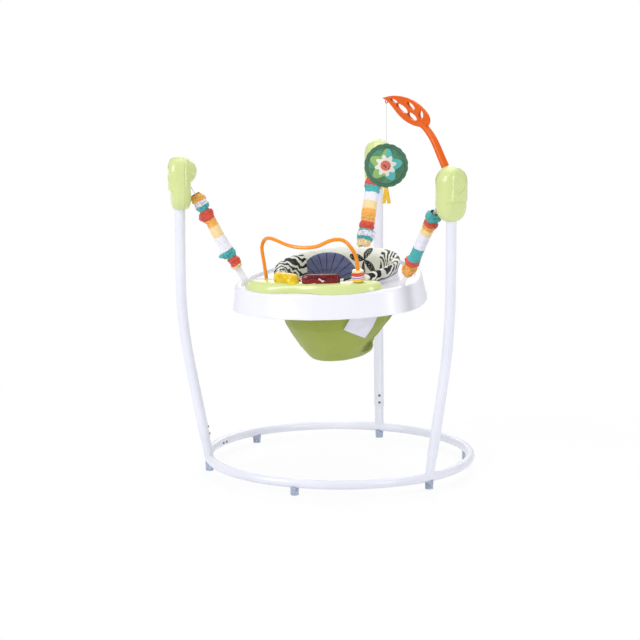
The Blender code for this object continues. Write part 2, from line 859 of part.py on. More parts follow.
def raised_cover():
    """The outer cover's raised upper plate, which ends in a straight edge."""
    top = HOUSING_BOTTOM + HOUSING_HEIGHT - COVER_INSET
    half = HOUSING_HALF_WIDTH - COVER_INSET
    edge = HOUSING_BOTTOM + COVER_EDGE_UP
    arc = [point for point in stadium(half, HOUSING_BOTTOM, top) if point[1] >= top - half - 1e-6]
    outline = [*arc, (-half, edge - COVER_ROUND), (half, edge - COVER_ROUND)]
    plate = slab(outline, 0.0, HOUSING_OUT + COVER_PROUD, COVER_ROUND, round_low=False)
    bmesh.ops.bisect_plane(
        plate,
        geom=[*plate.verts, *plate.edges, *plate.faces],
        plane_co=(0.0, edge, 0.0),
        plane_no=(0.0, -1.0, 0.0),
        clear_outer=True,
    )
    bmesh.ops.holes_fill(plate, edges=[rim for rim in plate.edges if rim.is_boundary])
    return helper("raised_cover", upright(plate))


def cover_dimple():
    outer = HOUSING_OUT + COVER_PROUD
    disc = rod(DIMPLE_R, -DIMPLE_DEPTH, 0.01, sides=24)
    outwards = Matrix.Translation((outer, 0.0, HOUSING_BOTTOM + DIMPLE_UP)) @ Matrix.Rotation(math.pi / 2, 4, "Y")
    bmesh.ops.transform(disc, matrix=outwards, verts=disc.verts)
    return helper("cover_dimple", disc)


def stem_axis():
    """The toy arm's way into its housing: the entry point and the direction outwards."""
    entry = Vector((STEM_POINTS[0][0], 0.0, HOUSING_BOTTOM + STEM_POINTS[0][1]))
    beyond = Vector((STEM_POINTS[1][0], 0.0, HOUSING_BOTTOM + STEM_POINTS[1][1]))
    return entry, (beyond - entry).normalized()


def stem_socket():
    entry, outwards = stem_axis()
    points = [entry - outwards * STEM_PLUG, entry + outwards * 0.03]
    return as_helper(tube("stem_socket", points, STEM_R + FIT, lime_plastic(), resolution=3))


def build_housings():
    cutters = housing_cutters()
    wide = 0.2
    keep_inner = helper("keep_inner", box((HOUSING_SPLIT - FIT / 2, -wide, 0.5), (wide, wide, 1.2)))
    keep_outer = helper("keep_outer", box((-wide, -wide, 0.5), (HOUSING_SPLIT + FIT / 2, wide, 1.2)))
    dome, cover, dimple, socket = hub_dome(), raised_cover(), cover_dimple(), stem_socket()
    halves = {
        "housing_inner": ([(dome, "UNION")], keep_inner),
        "housing_outer": ([(cover, "UNION"), (dimple, "DIFFERENCE")], keep_outer),
    }
    for name, (shapes, keep) in halves.items():
        first = housing_body(f"{name}_left")
        for shape, operation in shapes:
            shape_with(first, shape, operation)
        for cutter in [*cutters, keep]:
            shape_with(first, cutter)
        bake(first)
        placed_copy(f"{name}_back", first.data, housing_matrix("back"))
        right = placed_copy(f"{name}_right", first.data.copy(), Matrix.Identity(4))
        shape_with(right, socket)
        bake(right)
        right.matrix_world = housing_matrix("right")
        first.matrix_world = housing_matrix("left")


def build_pins():
    pin = mesh_object("hanger_pin_left", rod(PIN_R, -PIN_LENGTH / 2, PIN_LENGTH / 2, sides=16), steel())
    along_y = Matrix.Rotation(math.pi / 2, 4, "X")
    for side in LEG_ANGLES:
        matrix = housing_matrix(side) @ Matrix.Translation((PIN_OUT, 0.0, PIN_HEIGHT)) @ along_y
        if side == "left":
            pin.matrix_world = matrix
        else:
            placed_copy(f"hanger_pin_{side}", pin.data, matrix)


# Straps, springs and sleeves


def strap_ribbon(side):
    """A flat strap that hangs square to the pin and turns edge-on inside its spring."""
    length = strap_length(side)
    floor_run = (TRAY_WALL + TOGGLE_R) / math.cos(math.radians(25.0))
    stops = [PIN_R + FIT + STRAP_EYE_WALL / 2, STRAP_TWIST_START]
    steps = 8
    stops += [STRAP_TWIST_START + (STRAP_TWIST_END - STRAP_TWIST_START) * step / steps for step in range(1, steps + 1)]
    stops.append(length + floor_run)
    rings = []
    for along in stops:
        share = (along - STRAP_TWIST_START) / (STRAP_TWIST_END - STRAP_TWIST_START)
        share = min(max(share, 0.0), 1.0)
        angle = math.pi / 2 * share * share * (3 - 2 * share)
        spin = turn(-angle)
        corners = ((-1, -1), (1, -1), (1, 1), (-1, 1))
        rings.append(
            [spin @ Vector((x * STRAP_THICK / 2, y * STRAP_WIDTH / 2, along)) for x, y in corners]
        )
    return loft(rings)


def strap_toggle(side):
    """The bar sewn into the strap's end, which bears on the underside of the tray's floor."""
    angle = math.radians(LEG_ANGLES[side])
    bar = rod(TOGGLE_R, -TOGGLE_LENGTH / 2, TOGGLE_LENGTH / 2, sides=12)
    down = TRAY_FLOOR_DROP + TRAY_WALL + FIT + TOGGLE_R
    strap_down = tray_matrix().inverted().to_3x3() @ hanging_matrix(side).col[2].xyz
    drift = strap_down.to_2d() / -strap_down.z * (down - TRAY_FLOOR_DROP)
    inwards = drift.dot(Vector((math.cos(angle), math.sin(angle))))
    place = tray_matrix() @ turn(angle) @ Matrix.Translation((STRAP_ANCHOR_R + inwards, 0.0, -down))
    return helper(f"toggle_{side}", bar, place @ Matrix.Rotation(math.pi / 2, 4, "Y"))


def build_straps():
    webbing = material("white_webbing", (0.86, 0.86, 0.88), 0.75)
    outer = PIN_R + FIT + STRAP_EYE_WALL
    for side in LEG_ANGLES:
        strap = mesh_object(f"strap_{side}", strap_ribbon(side), webbing)
        strap.matrix_world = hanging_matrix(side)
        across = hanging_matrix(side) @ Matrix.Rotation(math.pi / 2, 4, "X")
        half = STRAP_WIDTH / 2
        eye = helper(f"strap_eye_{side}", rod(outer, -half, half, sides=16), across)
        bore = helper(f"strap_eye_bore_{side}", rod(PIN_R + FIT, -half - 0.01, half + 0.01, sides=16), across)
        shape_with(strap, eye, "UNION")
        shape_with(strap, bore)
        shape_with(strap, strap_toggle(side), "UNION")


def sleeve_profile(start, end):
    """The gathered sleeve: folds outside, and a bore that narrows to a cuff at each end."""
    folded = end - start - 2 * SLEEVE_CUFF
    cuff_bore = SPRING_R + FIT
    outside = [(cuff_bore + 0.0016, start), (SLEEVE_R - SLEEVE_FOLD, start + SLEEVE_CUFF * 0.5)]
    per_fold = 2
    for step in range(SLEEVE_FOLDS * per_fold + 1):
        share = step / (SLEEVE_FOLDS * per_fold)
        swell = abs(math.sin(math.pi * share * SLEEVE_FOLDS)) ** 0.7
        fullness = 0.75 + 0.25 * math.cos(math.tau * 1.5 * share)
        radius = SLEEVE_R + SLEEVE_FOLD * (2 * swell * fullness - 1)
        outside.append((radius, start + SLEEVE_CUFF + folded * share))
    outside += [(SLEEVE_R - SLEEVE_FOLD, end - SLEEVE_CUFF * 0.5), (cuff_bore + 0.0016, end)]
    bore = min(SLEEVE_BORE_R, SLEEVE_R - SLEEVE_FOLD - 0.001)
    inside = [
        (cuff_bore, end),
        (cuff_bore, end - SLEEVE_CUFF * 0.6),
        (bore, end - SLEEVE_CUFF),
        (bore, start + SLEEVE_CUFF),
        (cuff_bore, start + SLEEVE_CUFF * 0.6),
        (cuff_bore, start),
    ]
    return outside + inside


def build_springs_and_sleeves():
    """The springs are closed coils that the sleeves hide, so each is a plain tube."""
    start, end = SPRING_SPAN
    inner = SPRING_R - SPRING_WALL
    coil = turned(((SPRING_R, start), (SPRING_R, end), (inner, end), (inner, start)), SLEEVE_SIDES)
    spring = mesh_object("spring_left", coil, material("spring_steel", (0.55, 0.55, 0.57), 0.3, 1.0))
    spring.matrix_world = hanging_matrix("left")
    for side in ("right", "back"):
        placed_copy(f"spring_{side}", spring.data, hanging_matrix(side))
    fabric = material("sleeve_fabric", (0.85, 0.55, 0.25), 0.85)
    for side, span in SLEEVE_SPANS.items():
        sleeve = mesh_object(f"sleeve_{side}", turned(sleeve_profile(*span), SLEEVE_SIDES), fabric)
        sleeve.matrix_world = hanging_matrix(side)


# Play tray


def tray_edge(angle, inset):
    """A point of the tray's outline, or of a line parallel to it, where its outside faces the angle.

    The outline's middle lies a little to the side of the seat's.
    """
    lobe = 3 * (angle - math.pi / 2)
    reach = TRAY_MEAN_R - inset + TRAY_LOBE * math.cos(lobe)
    slide = -3 * TRAY_LOBE * math.sin(lobe)
    x = reach * math.cos(angle) - slide * math.sin(angle)
    y = reach * math.sin(angle) + slide * math.cos(angle)
    return Vector((x + TRAY_SHIFT[0], y + TRAY_SHIFT[1], 0.0))


def tray_edge_at(polar, inset):
    """The point of a line parallel to the outline that lies in a direction from the tray's middle."""
    low, high = polar - 0.5, polar + 0.5
    for _ in range(30):
        middle = (low + high) / 2
        point = tray_edge(middle, inset)
        ahead = math.sin(math.atan2(point.y, point.x) - polar)
        low, high = (middle, high) if ahead < 0 else (low, middle)
    return tray_edge((low + high) / 2, inset)


def on_circle(angle, radius):
    return Vector((radius * math.cos(angle), radius * math.sin(angle), 0.0))


SHOULDER = (
    (TRAY_WALL_DRAFT, -TRAY_SHOULDER_DROP),
    (TRAY_WALL_DRAFT + 0.0023, -TRAY_SHOULDER_DROP * 0.44),
    (TRAY_WALL_DRAFT + 0.0071, -TRAY_SHOULDER_DROP * 0.10),
    (TRAY_WALL_DRAFT + 0.0110, 0.0),
    (TRAY_WALL_DRAFT + TRAY_RIM_WIDTH, 0.0),
    (TRAY_WALL_DRAFT + TRAY_RIM_WIDTH + 0.006, -TRAY_FLOOR_DROP),
)
RING_OUTER_R = SEAT_OPENING_R + SEAT_RING_WALL
COLLAR_INNER_R = RING_OUTER_R + SWIVEL_GAP
FLANGE_R = SEAT_OPENING_R + SEAT_FLANGE
COLLAR_OUTER_R = FLANGE_R + COLLAR_LAND
COLLAR_TOP = 0.0012
FLANGE_BOTTOM = COLLAR_TOP + FIT
FLANGE_TOP = FLANGE_BOTTOM + SEAT_FLANGE_THICK


def tray_section(angle):
    """The tray's wall at one angle: out over the rim and floor to the collar, and back underneath."""
    bottom = -TRAY_DEPTH
    edge = [(-TRAY_LIP, bottom), (-TRAY_LIP, bottom + 0.0035), (0.0004, bottom + 0.006)]
    points = [tray_edge(angle, inset) + Vector((0, 0, z)) for inset, z in [*edge, *SHOULDER]]
    collar = (
        (COLLAR_OUTER_R + 0.001, -TRAY_FLOOR_DROP),
        (COLLAR_OUTER_R, COLLAR_TOP),
        (COLLAR_INNER_R, COLLAR_TOP),
        (COLLAR_INNER_R, -COLLAR_DEPTH),
        (COLLAR_INNER_R + TRAY_WALL, -COLLAR_DEPTH),
        (COLLAR_INNER_R + TRAY_WALL, COLLAR_TOP - TRAY_WALL),
        (COLLAR_OUTER_R - TRAY_WALL, COLLAR_TOP - TRAY_WALL),
        (COLLAR_OUTER_R - TRAY_WALL, -TRAY_FLOOR_DROP - TRAY_WALL),
    )
    points += [on_circle(angle, radius) + Vector((0, 0, z)) for radius, z in collar]
    under = [
        (SHOULDER[5][0] + 0.001, -TRAY_FLOOR_DROP - TRAY_WALL),
        (SHOULDER[4][0] + 0.001, -TRAY_WALL),
        (SHOULDER[3][0], -TRAY_WALL),
        (SHOULDER[1][0] + TRAY_WALL, -TRAY_SHOULDER_DROP * 0.44 - TRAY_WALL),
        (SHOULDER[0][0] + TRAY_WALL, -TRAY_SHOULDER_DROP - TRAY_WALL),
        (TRAY_WALL, bottom),
    ]
    points += [tray_edge(angle, inset) + Vector((0, 0, z)) for inset, z in under]
    return points


def build_tray(frame):
    rings = [tray_section(math.tau * index / TRAY_SECTIONS) for index in range(TRAY_SECTIONS)]
    tray = mesh_object("tray", loft(rings, closed=True), white_plastic())
    for side in LEG_ANGLES:
        half_x = STRAP_WIDTH / 2 + SLOT_CLEARANCE
        half_y = STRAP_THICK / 2 + SLOT_CLEARANCE
        length = strap_length(side)
        slot = box((-half_x, -half_y, length - 0.020), (half_x, half_y, length + 0.020))
        shape_with(tray, helper(f"strap_slot_{side}", slot, tray_matrix().inverted() @ hanging_matrix(side)))
    bake(tray)
    return ride_on(tray, frame)


# Seat


def build_seat_ring(frame):
    """A ring whose flange turns on the collar, with a catch that keeps it down."""
    lip = COLLAR_DEPTH + FIT
    profile = (
        (SEAT_OPENING_R, FLANGE_TOP),
        (SEAT_OPENING_R, -SEAT_SKIRT),
        (RING_OUTER_R + SEAT_CATCH, -SEAT_SKIRT),
        (RING_OUTER_R + SEAT_CATCH, -lip - 0.0010),
        (RING_OUTER_R + 0.0002, -lip - 0.0002),
        (RING_OUTER_R, -lip),
        (RING_OUTER_R, FLANGE_BOTTOM),
        (FLANGE_R, FLANGE_BOTTOM),
        (FLANGE_R, FLANGE_TOP),
    )
    return ride_on(mesh_object("seat_ring", turned(profile, 32), white_plastic()), frame)


def pad_height(angle):
    """The pad is low at the front of the seat and high behind the child's back."""
    share = (1 - math.cos(angle)) / 2
    return PAD_FRONT_HEIGHT + (PAD_BACK_HEIGHT - PAD_FRONT_HEIGHT) * share**0.8


def pad_section(angle):
    height = pad_height(angle)
    base = FLANGE_TOP + FIT
    flap_r = SEAT_OPENING_R - FIT * 2
    inner = PAD_BULGE_R - PAD_THICK
    profile = (
        (flap_r, -PAD_FLAP),
        (flap_r, base),
        (FLANGE_R + 0.001, base),
        (PAD_BULGE_R - 0.0008, base + height * 0.28),
        (PAD_BULGE_R - 0.0010, base + height * 0.62),
        (PAD_BULGE_R - 0.0065, base + height * 0.90),
        (PAD_BULGE_R - PAD_THICK * 0.48, base + height),
        (inner + 0.0062, base + height * 0.90),
        (inner, base + height * 0.62),
        (inner - 0.0022, base + height * 0.26),
        (SEAT_OPENING_R - 0.0046, -PAD_FLAP * 0.4),
        (SEAT_OPENING_R - 0.0040, -PAD_FLAP),
    )
    return [on_circle(angle, radius) + Vector((0, 0, z)) for radius, z in profile]


def build_pad(frame):
    fabric = material("pad_fabric", (0.76, 0.76, 0.68), 0.9)
    rings = [pad_section(math.tau * index / PAD_SECTIONS) for index in range(PAD_SECTIONS)]
    pad = mesh_object("seat_pad", loft(rings, closed=True), fabric)
    smooth(pad.data, 80.0)
    return ride_on(pad, frame)


def sling_outline():
    """The sling's outside from its hem under the seat ring down to the middle of its bottom."""
    hem_r = RING_OUTER_R + SEAT_CATCH
    top = -SEAT_SKIRT - FIT
    bottom = top - SLING_DEPTH
    return (
        (hem_r, top),
        (hem_r + 0.0040, top - 0.030),
        (hem_r + 0.0020, top - SLING_DEPTH * 0.36),
        (hem_r - 0.0130, top - SLING_DEPTH * 0.62),
        (SLING_BOTTOM_R + 0.016, top - SLING_DEPTH * 0.82),
        (SLING_BOTTOM_R, bottom + 0.012),
        (SLING_BOTTOM_R * 0.80, bottom + 0.003),
        (SLING_BOTTOM_R * 0.45, bottom + 0.0005),
        (0.0, bottom),
    )


def build_sling(frame):
    """A cloth tub with two leg holes, hung from the seat ring's lower edge."""
    outside = sling_outline()
    inside = [(max(radius - SLING_WALL, 0.0), z + (0.0 if z > -0.15 else SLING_WALL * 0.6)) for radius, z in outside]
    inside[-1] = (0.0, outside[-1][1] + SLING_WALL)
    inside[0] = (outside[0][0] - SLING_WALL, outside[0][1])
    profile = [*reversed(inside), *outside]
    fabric = material("sling_fabric", (0.35, 0.42, 0.10), 0.9)
    sling = mesh_object("seat_sling", turned(profile, SLING_SEGMENTS, closed=False), fabric)
    for vertex in sling.data.vertices:
        vertex.co.y *= sling_narrowing(vertex.co.z)
    for number, sign in enumerate((1, -1), 1):
        hole = slab(oval(LEG_HOLE_HALF_WIDTH, LEG_HOLE_HALF_HEIGHT, 16, 2.3), 0.04, 0.2)
        place = turn(sign * LEG_HOLE_TURN) @ Matrix.Translation((0.0, 0.0, -SEAT_SKIRT - LEG_HOLE_DOWN))
        upright(hole, place)
        shape_with(sling, helper(f"leg_hole_{number}", hole))
    bake(sling)
    smooth(sling.data, 60.0)
    return ride_on(sling, frame)


def sling_narrowing(z):
    """The sling gets narrower across the seat towards its bottom."""
    share = min(max((-SEAT_SKIRT - z) / SLING_DEPTH, 0.0), 1.0)
    return 1 - SLING_NARROWING * share


def sling_radius(z):
    outline = sling_outline()
    for (near_r, near_z), (far_r, far_z) in zip(outline, outline[1:]):
        if far_z <= z <= near_z:
            return near_r + (far_r - near_r) * (near_z - z) / (near_z - far_z)
    return outline[0][0]


def build_label(frame):
    """A plain care label sewn under the hem, lying skewed on the sling."""
    steps = 5
    top = -SEAT_SKIRT - 0.012 - LABEL_WIDTH / 2 * abs(math.sin(LABEL_SKEW))
    layers = []
    for lift in (FIT, FIT + LABEL_THICK):
        rows = []
        for row in range(steps + 1):
            points = []
            for column in range(steps + 1):
                across = (column / steps - 0.5) * LABEL_WIDTH
                down = row / steps * LABEL_LENGTH
                x = across * math.cos(LABEL_SKEW) - down * math.sin(LABEL_SKEW)
                z = top - down * math.cos(LABEL_SKEW) - across * math.sin(LABEL_SKEW)
                radius = sling_radius(z) + 0.0004 + 0.0016 * row / steps + lift
                point = on_circle(LABEL_TURN + x / radius, radius)
                points.append(Vector((point.x, point.y * sling_narrowing(z), z)))
            rows.append(points)
        layers.append(rows)
    inner, outer = layers
    rings = [[*near, *reversed(far)] for near, far in zip(outer, inner)]
    label = mesh_object("care_label", loft(rings), material("label_fabric", (0.86, 0.86, 0.88), 0.8))
    return ride_on(label, frame)


# Toy console


def console_width_share(share):
    """How much of the full width the console has at a share of its length: its ends are round."""
    return max(1 - abs(2 * share - 1) ** 7, 0.0) ** (1 / 2.4)


def console_edge_inset(angle):
    waist = math.exp(-(((angle - CONSOLE_WAIST_AT) / CONSOLE_WAIST_SPREAD) ** 2))
    return TRAY_WALL_DRAFT + CONSOLE_EDGE + CONSOLE_WAIST * waist


def tray_room():
    """The space that the tray takes, and a gap round it, with the same facets as the tray."""
    rings = []
    for index in range(TRAY_SECTIONS):
        angle = math.tau * index / TRAY_SECTIONS
        edge = [(-TRAY_LIP - TRAY_GAP, -0.040), (0.0, -0.030)]
        section = [tray_edge(angle, inset) + Vector((0, 0, z)) for inset, z in edge]
        for number, (inset, z) in enumerate(SHOULDER):
            out = TRAY_GAP if number < 3 or number == len(SHOULDER) - 1 else 0.0
            section.append(tray_edge(angle, inset - (out if number < 3 else -out)) + Vector((0, 0, z + TRAY_GAP)))
        section += [
            on_circle(angle, COLLAR_OUTER_R + 0.002) + Vector((0, 0, -TRAY_FLOOR_DROP + TRAY_GAP)),
            on_circle(angle, COLLAR_OUTER_R + 0.002) + Vector((0, 0, -0.040)),
        ]
        rings.append(section)
    return loft(rings, closed=True)


def console_section(share, wall, top):
    """One cross-section of the console: an arched top over a level underside."""
    length = CONSOLE_END - CONSOLE_START
    end_turn = wall / CONSOLE_INNER_R
    angle = CONSOLE_START + end_turn + (length - 2 * end_turn) * share
    width = console_width_share(share)
    full_in = on_circle(angle, CONSOLE_INNER_R + wall)
    full_out = tray_edge_at(angle, console_edge_inset(angle) + wall)
    middle = (full_in + full_out) / 2
    half = (full_out - full_in) / 2 * width
    arch = top * (0.35 + 0.65 * width)
    points = []
    for step in range(CONSOLE_ARCH_STEPS + 1):
        swing = math.pi * step / CONSOLE_ARCH_STEPS
        across, up = math.cos(swing), math.sin(swing)
        reach = math.copysign(abs(across) ** 0.55, across)
        height = CONSOLE_LOW + (arch - CONSOLE_LOW) * abs(up) ** 0.62
        points.append(middle + half * reach + Vector((0, 0, height)))
    return points


def console_solid(wall, top):
    shares = [0.5 - 0.494 * math.cos(math.pi * index / CONSOLE_SECTIONS) for index in range(CONSOLE_SECTIONS + 1)]
    return loft([console_section(share, wall, top) for share in shares])


def console_hole(name, at, half):
    angle, radius = at
    bm = slab(oval(half[0] + FIT, half[1] + FIT, 20, 2.6), CONSOLE_BASE_TOP + 0.004, 0.06)
    return helper(name, bm, button_matrix(angle, radius))


def button_matrix(angle, radius):
    """A frame on the console with X along it and Y inwards."""
    return Matrix.Translation(on_circle(angle, radius)) @ turn(angle + math.pi / 2)


def build_button(name, at, half, mat, frame):
    """A hollow dome that a flange keeps under the console's top, free to go down."""
    angle, radius = at
    ceiling = button_ceiling(angle)
    flange_top = ceiling - FIT
    flange_low = flange_top - 0.0016
    rise = CONSOLE_HEIGHT + BUTTON_HEIGHT
    levels = (
        (BUTTON_FLANGE, flange_low),
        (BUTTON_FLANGE, flange_top),
        (0.0, flange_top),
        (0.0, CONSOLE_HEIGHT + BUTTON_HEIGHT * 0.45),
        (-0.0015, rise - 0.006),
        (-0.0045, rise - 0.0015),
        (-0.0085, rise),
    )
    count = 20
    rings = [
        [Vector((x, y, z)) for x, y in oval(half[0] + grow, half[1] + max(grow, -half[1] * 0.7), count, 2.6)]
        for grow, z in levels
    ]
    button = mesh_object(name, loft(rings), mat)
    hollow = [
        [Vector((x, y, z)) for x, y in oval(half[0] - BUTTON_WALL + grow, half[1] - BUTTON_WALL + grow, count, 2.6)]
        for grow, z in ((0.0, flange_low - 0.01), (0.0, rise - 0.008), (-0.003, rise - BUTTON_WALL))
    ]
    shape_with(button, helper(f"{name}_hollow", loft(hollow)))
    bake(button)
    button.matrix_basis = button_matrix(angle, radius)
    return ride_on(button, frame)


def button_ceiling(angle):
    """The lowest point of the console's ceiling above a button's flange."""
    return CONSOLE_HEIGHT * 0.62 - CONSOLE_WALL


def build_console(frame):
    room = helper("tray_room", tray_room())
    top = mesh_object("console_top", console_solid(0.0, CONSOLE_HEIGHT), lime_plastic())
    shape_with(top, helper("console_hollow", console_solid(CONSOLE_WALL, CONSOLE_HEIGHT - CONSOLE_WALL)))
    shape_with(top, room)
    shape_with(top, console_hole("yellow_hole", YELLOW_AT, YELLOW_HALF))
    shape_with(top, console_hole("red_hole", RED_AT, RED_HALF))
    for name, foot in (("bar_hole_left", BAR_LEFT_FOOT), ("bar_hole_right", BAR_RIGHT_FOOT)):
        hole = helper(name, rod(BAR_R + FIT, CONSOLE_BASE_TOP + 0.001, 0.06), Matrix.Translation((*foot, 0.0)))
        shape_with(top, hole)
    bake(top)
    ride_on(top, frame)

    inset = CONSOLE_WALL + FIT
    base = mesh_object("console_base", console_solid(inset, CONSOLE_HEIGHT - inset), white_plastic())
    shape_with(base, helper("console_base_level", box((-0.4, -0.4, CONSOLE_BASE_TOP), (0.4, 0.4, 0.1))))
    shape_with(base, room)
    bake(base)
    ride_on(base, frame)


def build_board(frame):
    """The circuit board under the red button, with two switch domes."""
    low = CONSOLE_BASE_TOP + FIT
    board = mesh_object(
        "circuit_board",
        box((-BOARD_HALF_LENGTH, -BOARD_HALF_WIDTH, low), (BOARD_HALF_LENGTH, BOARD_HALF_WIDTH, low + BOARD_THICK)),
        material("board", (0.05, 0.22, 0.12), 0.5),
    )
    board.matrix_basis = button_matrix(*RED_AT)
    return ride_on(board, frame)


# Bead bar


def bar_path():
    """The bar's centre line in the tray's frame: up from one foot, over two crests, down to the other."""
    left, right = Vector((*BAR_LEFT_FOOT, 0.0)), Vector((*BAR_RIGHT_FOOT, 0.0))
    low = Vector((0.0, 0.0, CONSOLE_BASE_TOP + FIT))
    straight = Vector((0.0, 0.0, CONSOLE_HEIGHT + 4 * BEAD_HEIGHT + BEAD_TRAVEL + 0.002))
    route = [left + Vector((0, 0, CONSOLE_HEIGHT + 0.004)), *map(Vector, BAR_POINTS), right + straight]
    return [left + low, *smooth_path(route, 2), right + low]


def build_bead_bar(frame):
    bar = tube("bead_bar", bar_path(), BAR_R, material("orange_bar", (0.90, 0.29, 0.02), 0.3), resolution=2)
    return ride_on(bar, frame)


def bead_bm(radius, low, high):
    bore = BAR_R + FIT
    edge = (high - low) * 0.28
    profile = (
        (bore, low),
        (radius - edge, low),
        (radius, low + edge),
        (radius, high - edge),
        (radius - edge, high),
        (bore, high),
    )
    return turned(profile, 16)


def build_beads(frame):
    colours = (
        ("bead_base_yellow", (0.90, 0.62, 0.05), BEAD_R * 0.90),
        ("bead_white", (0.86, 0.85, 0.88), BEAD_R),
        ("bead_red", (0.70, 0.06, 0.05), BEAD_R),
        ("bead_cream", (0.93, 0.80, 0.42), BEAD_R * 0.88),
    )
    for number, (name, colour, radius) in enumerate(colours):
        low = CONSOLE_HEIGHT + FIT + number * BEAD_HEIGHT
        bead = mesh_object(name, bead_bm(radius, low, low + BEAD_HEIGHT - FIT), material(name, colour, 0.3))
        bead.matrix_basis = Matrix.Translation((*BAR_RIGHT_FOOT, 0.0))
        ride_on(bead, frame)


# Toy arm and soft toy


def leaf_plate():
    """The openwork leaf, drawn in (outwards, up) and thick across the arm."""
    outline = smooth_path([Vector((x, z, 0.0)) for x, z in (*LEAF_OUTLINE, LEAF_OUTLINE[0])], 2)[:-1]
    plate = slab([(point.x, point.y) for point in outline], -LEAF_THICK / 2, LEAF_THICK / 2, 0.0018, 1)
    return plate


def lay_upright(bm, up):
    """Turns a plate drawn in (outwards, up) so that its thickness runs across."""
    swap = Matrix(((1, 0, 0, 0), (0, 0, -1, 0), (0, 1, 0, up), (0, 0, 0, 1)))
    bmesh.ops.transform(bm, matrix=swap, verts=bm.verts)
    return bm


def build_toy_arm():
    orange = material("leaf_orange", (0.80, 0.13, 0.01), 0.35)
    leaf = mesh_object("toy_arm", lay_upright(leaf_plate(), HOUSING_BOTTOM), orange)
    for number, (x, z, half_x, half_z, degrees) in enumerate(LEAF_HOLES, 1):
        outline = oval(half_x, half_z, 12)
        hole = slab(outline, -0.02, 0.02)
        spin = Matrix.Translation((x, z, 0.0)) @ turn(math.radians(degrees))
        bmesh.ops.transform(hole, matrix=spin, verts=hole.verts)
        shape_with(leaf, helper(f"leaf_hole_{number}", lay_upright(hole, HOUSING_BOTTOM)))
    entry, outwards = stem_axis()
    route = [Vector((x, 0.0, HOUSING_BOTTOM + z)) for x, z in STEM_POINTS]
    path = [entry - outwards * (STEM_PLUG - FIT), *smooth_path(route, 2)]
    taper = STEM_TOP_R / STEM_R
    factors = [1.0] + [1.0 + (taper - 1.0) * index / (len(path) - 2) for index in range(len(path) - 1)]
    stem = tube("toy_arm_stem", path, STEM_R, orange, resolution=3, factors=factors)
    shape_with(leaf, as_helper(stem), "UNION")
    sides = 8
    rings = []
    for index in range(16):
        angle = math.tau * index / 16
        centre = Vector((math.cos(angle), 0.0, math.sin(angle))) * HOOK_R
        outward = centre.normalized()
        rings.append(
            [
                centre
                + outward * HOOK_WIRE_R * math.cos(math.tau * k / sides)
                + Vector((0, HOOK_WIRE_R * math.sin(math.tau * k / sides), 0))
                for k in range(sides)
            ]
        )
    hook = loft(rings, closed=True)
    place = Matrix.Translation((HOOK_AT[0], 0.0, HOUSING_BOTTOM + HOOK_AT[1]))
    shape_with(leaf, helper("toy_arm_hook", hook, place), "UNION")
    bake(leaf)
    leaf.matrix_world = housing_matrix("right")
    return leaf


def hook_point():
    return housing_matrix("right") @ Vector((HOOK_AT[0], 0.0, HOUSING_BOTTOM + HOOK_AT[1]))


def string_ends():
    top = hook_point() - Vector((0, 0, HOOK_R + HOOK_WIRE_R + FIT))
    return top, top - Vector((0, 0, STRING_LENGTH))


def plush_matrix():
    """The soft toy's frame at its middle: Z out of its face, X across it, and Y up."""
    _, bottom = string_ends()
    facing = Vector((math.cos(PLUSH_FACING), math.sin(PLUSH_FACING), 0.0))
    up = Vector((0.0, 0.0, 1.0))
    matrix = Matrix((up.cross(facing), up, facing)).transposed().to_4x4()
    matrix.translation = bottom - up * (PLUSH_R + PLUSH_SCALLOP + FIT)
    return matrix


def plush_radius(angle, share):
    """The disc's rim is scalloped, and the scallops fade towards its middle."""
    return share * (PLUSH_R + PLUSH_SCALLOP * math.cos(PLUSH_SCALLOPS * (angle - math.pi / 2)) * share**3)


def build_plush():
    count = 36
    shares = (0.30, 0.62, 0.86, 1.0)
    rings = []
    for face, order in ((1, shares), (-1, tuple(reversed(shares[:-1])))):
        for share in order:
            swell = face * PLUSH_HALF_THICK * (1 - share**2.6) ** 0.75
            rings.append(
                [
                    on_circle(math.tau * k / count, plush_radius(math.tau * k / count, share)) + Vector((0, 0, swell))
                    for k in range(count)
                ]
            )
    plush = mesh_object("plush_toy", loft(rings), material("plush_fabric", (0.10, 0.28, 0.18), 0.95))
    smooth(plush.data, 80.0)
    plush.matrix_world = plush_matrix()

    ends = string_ends()
    points = [ends[0].lerp(ends[1], step / 4) for step in range(5)]
    tube("toy_string", points, STRING_R, material("string", (0.9, 0.9, 0.9), 0.6), resolution=2)

    low = -plush_radius(-math.pi / 2, 1.0) - FIT
    strips = []
    for lean in RIBBON_LEANS:
        strip = box(
            (-RIBBON_WIDTH / 2, -RIBBON_LENGTH, -RIBBON_THICK / 2),
            (RIBBON_WIDTH / 2, 0.0, RIBBON_THICK / 2),
        )
        swing = Matrix.Translation((0.0, low, 0.0)) @ turn(math.radians(lean))
        bmesh.ops.transform(strip, matrix=swing, verts=strip.verts)
        strips.append(strip)
    ribbon = mesh_object("ribbon", strips[0], material("ribbon", (0.95, 0.55, 0.03), 0.6))
    shape_with(ribbon, helper("ribbon_second_tail", strips[1]), "UNION")
    bake(ribbon)
    ribbon.matrix_world = plush_matrix()


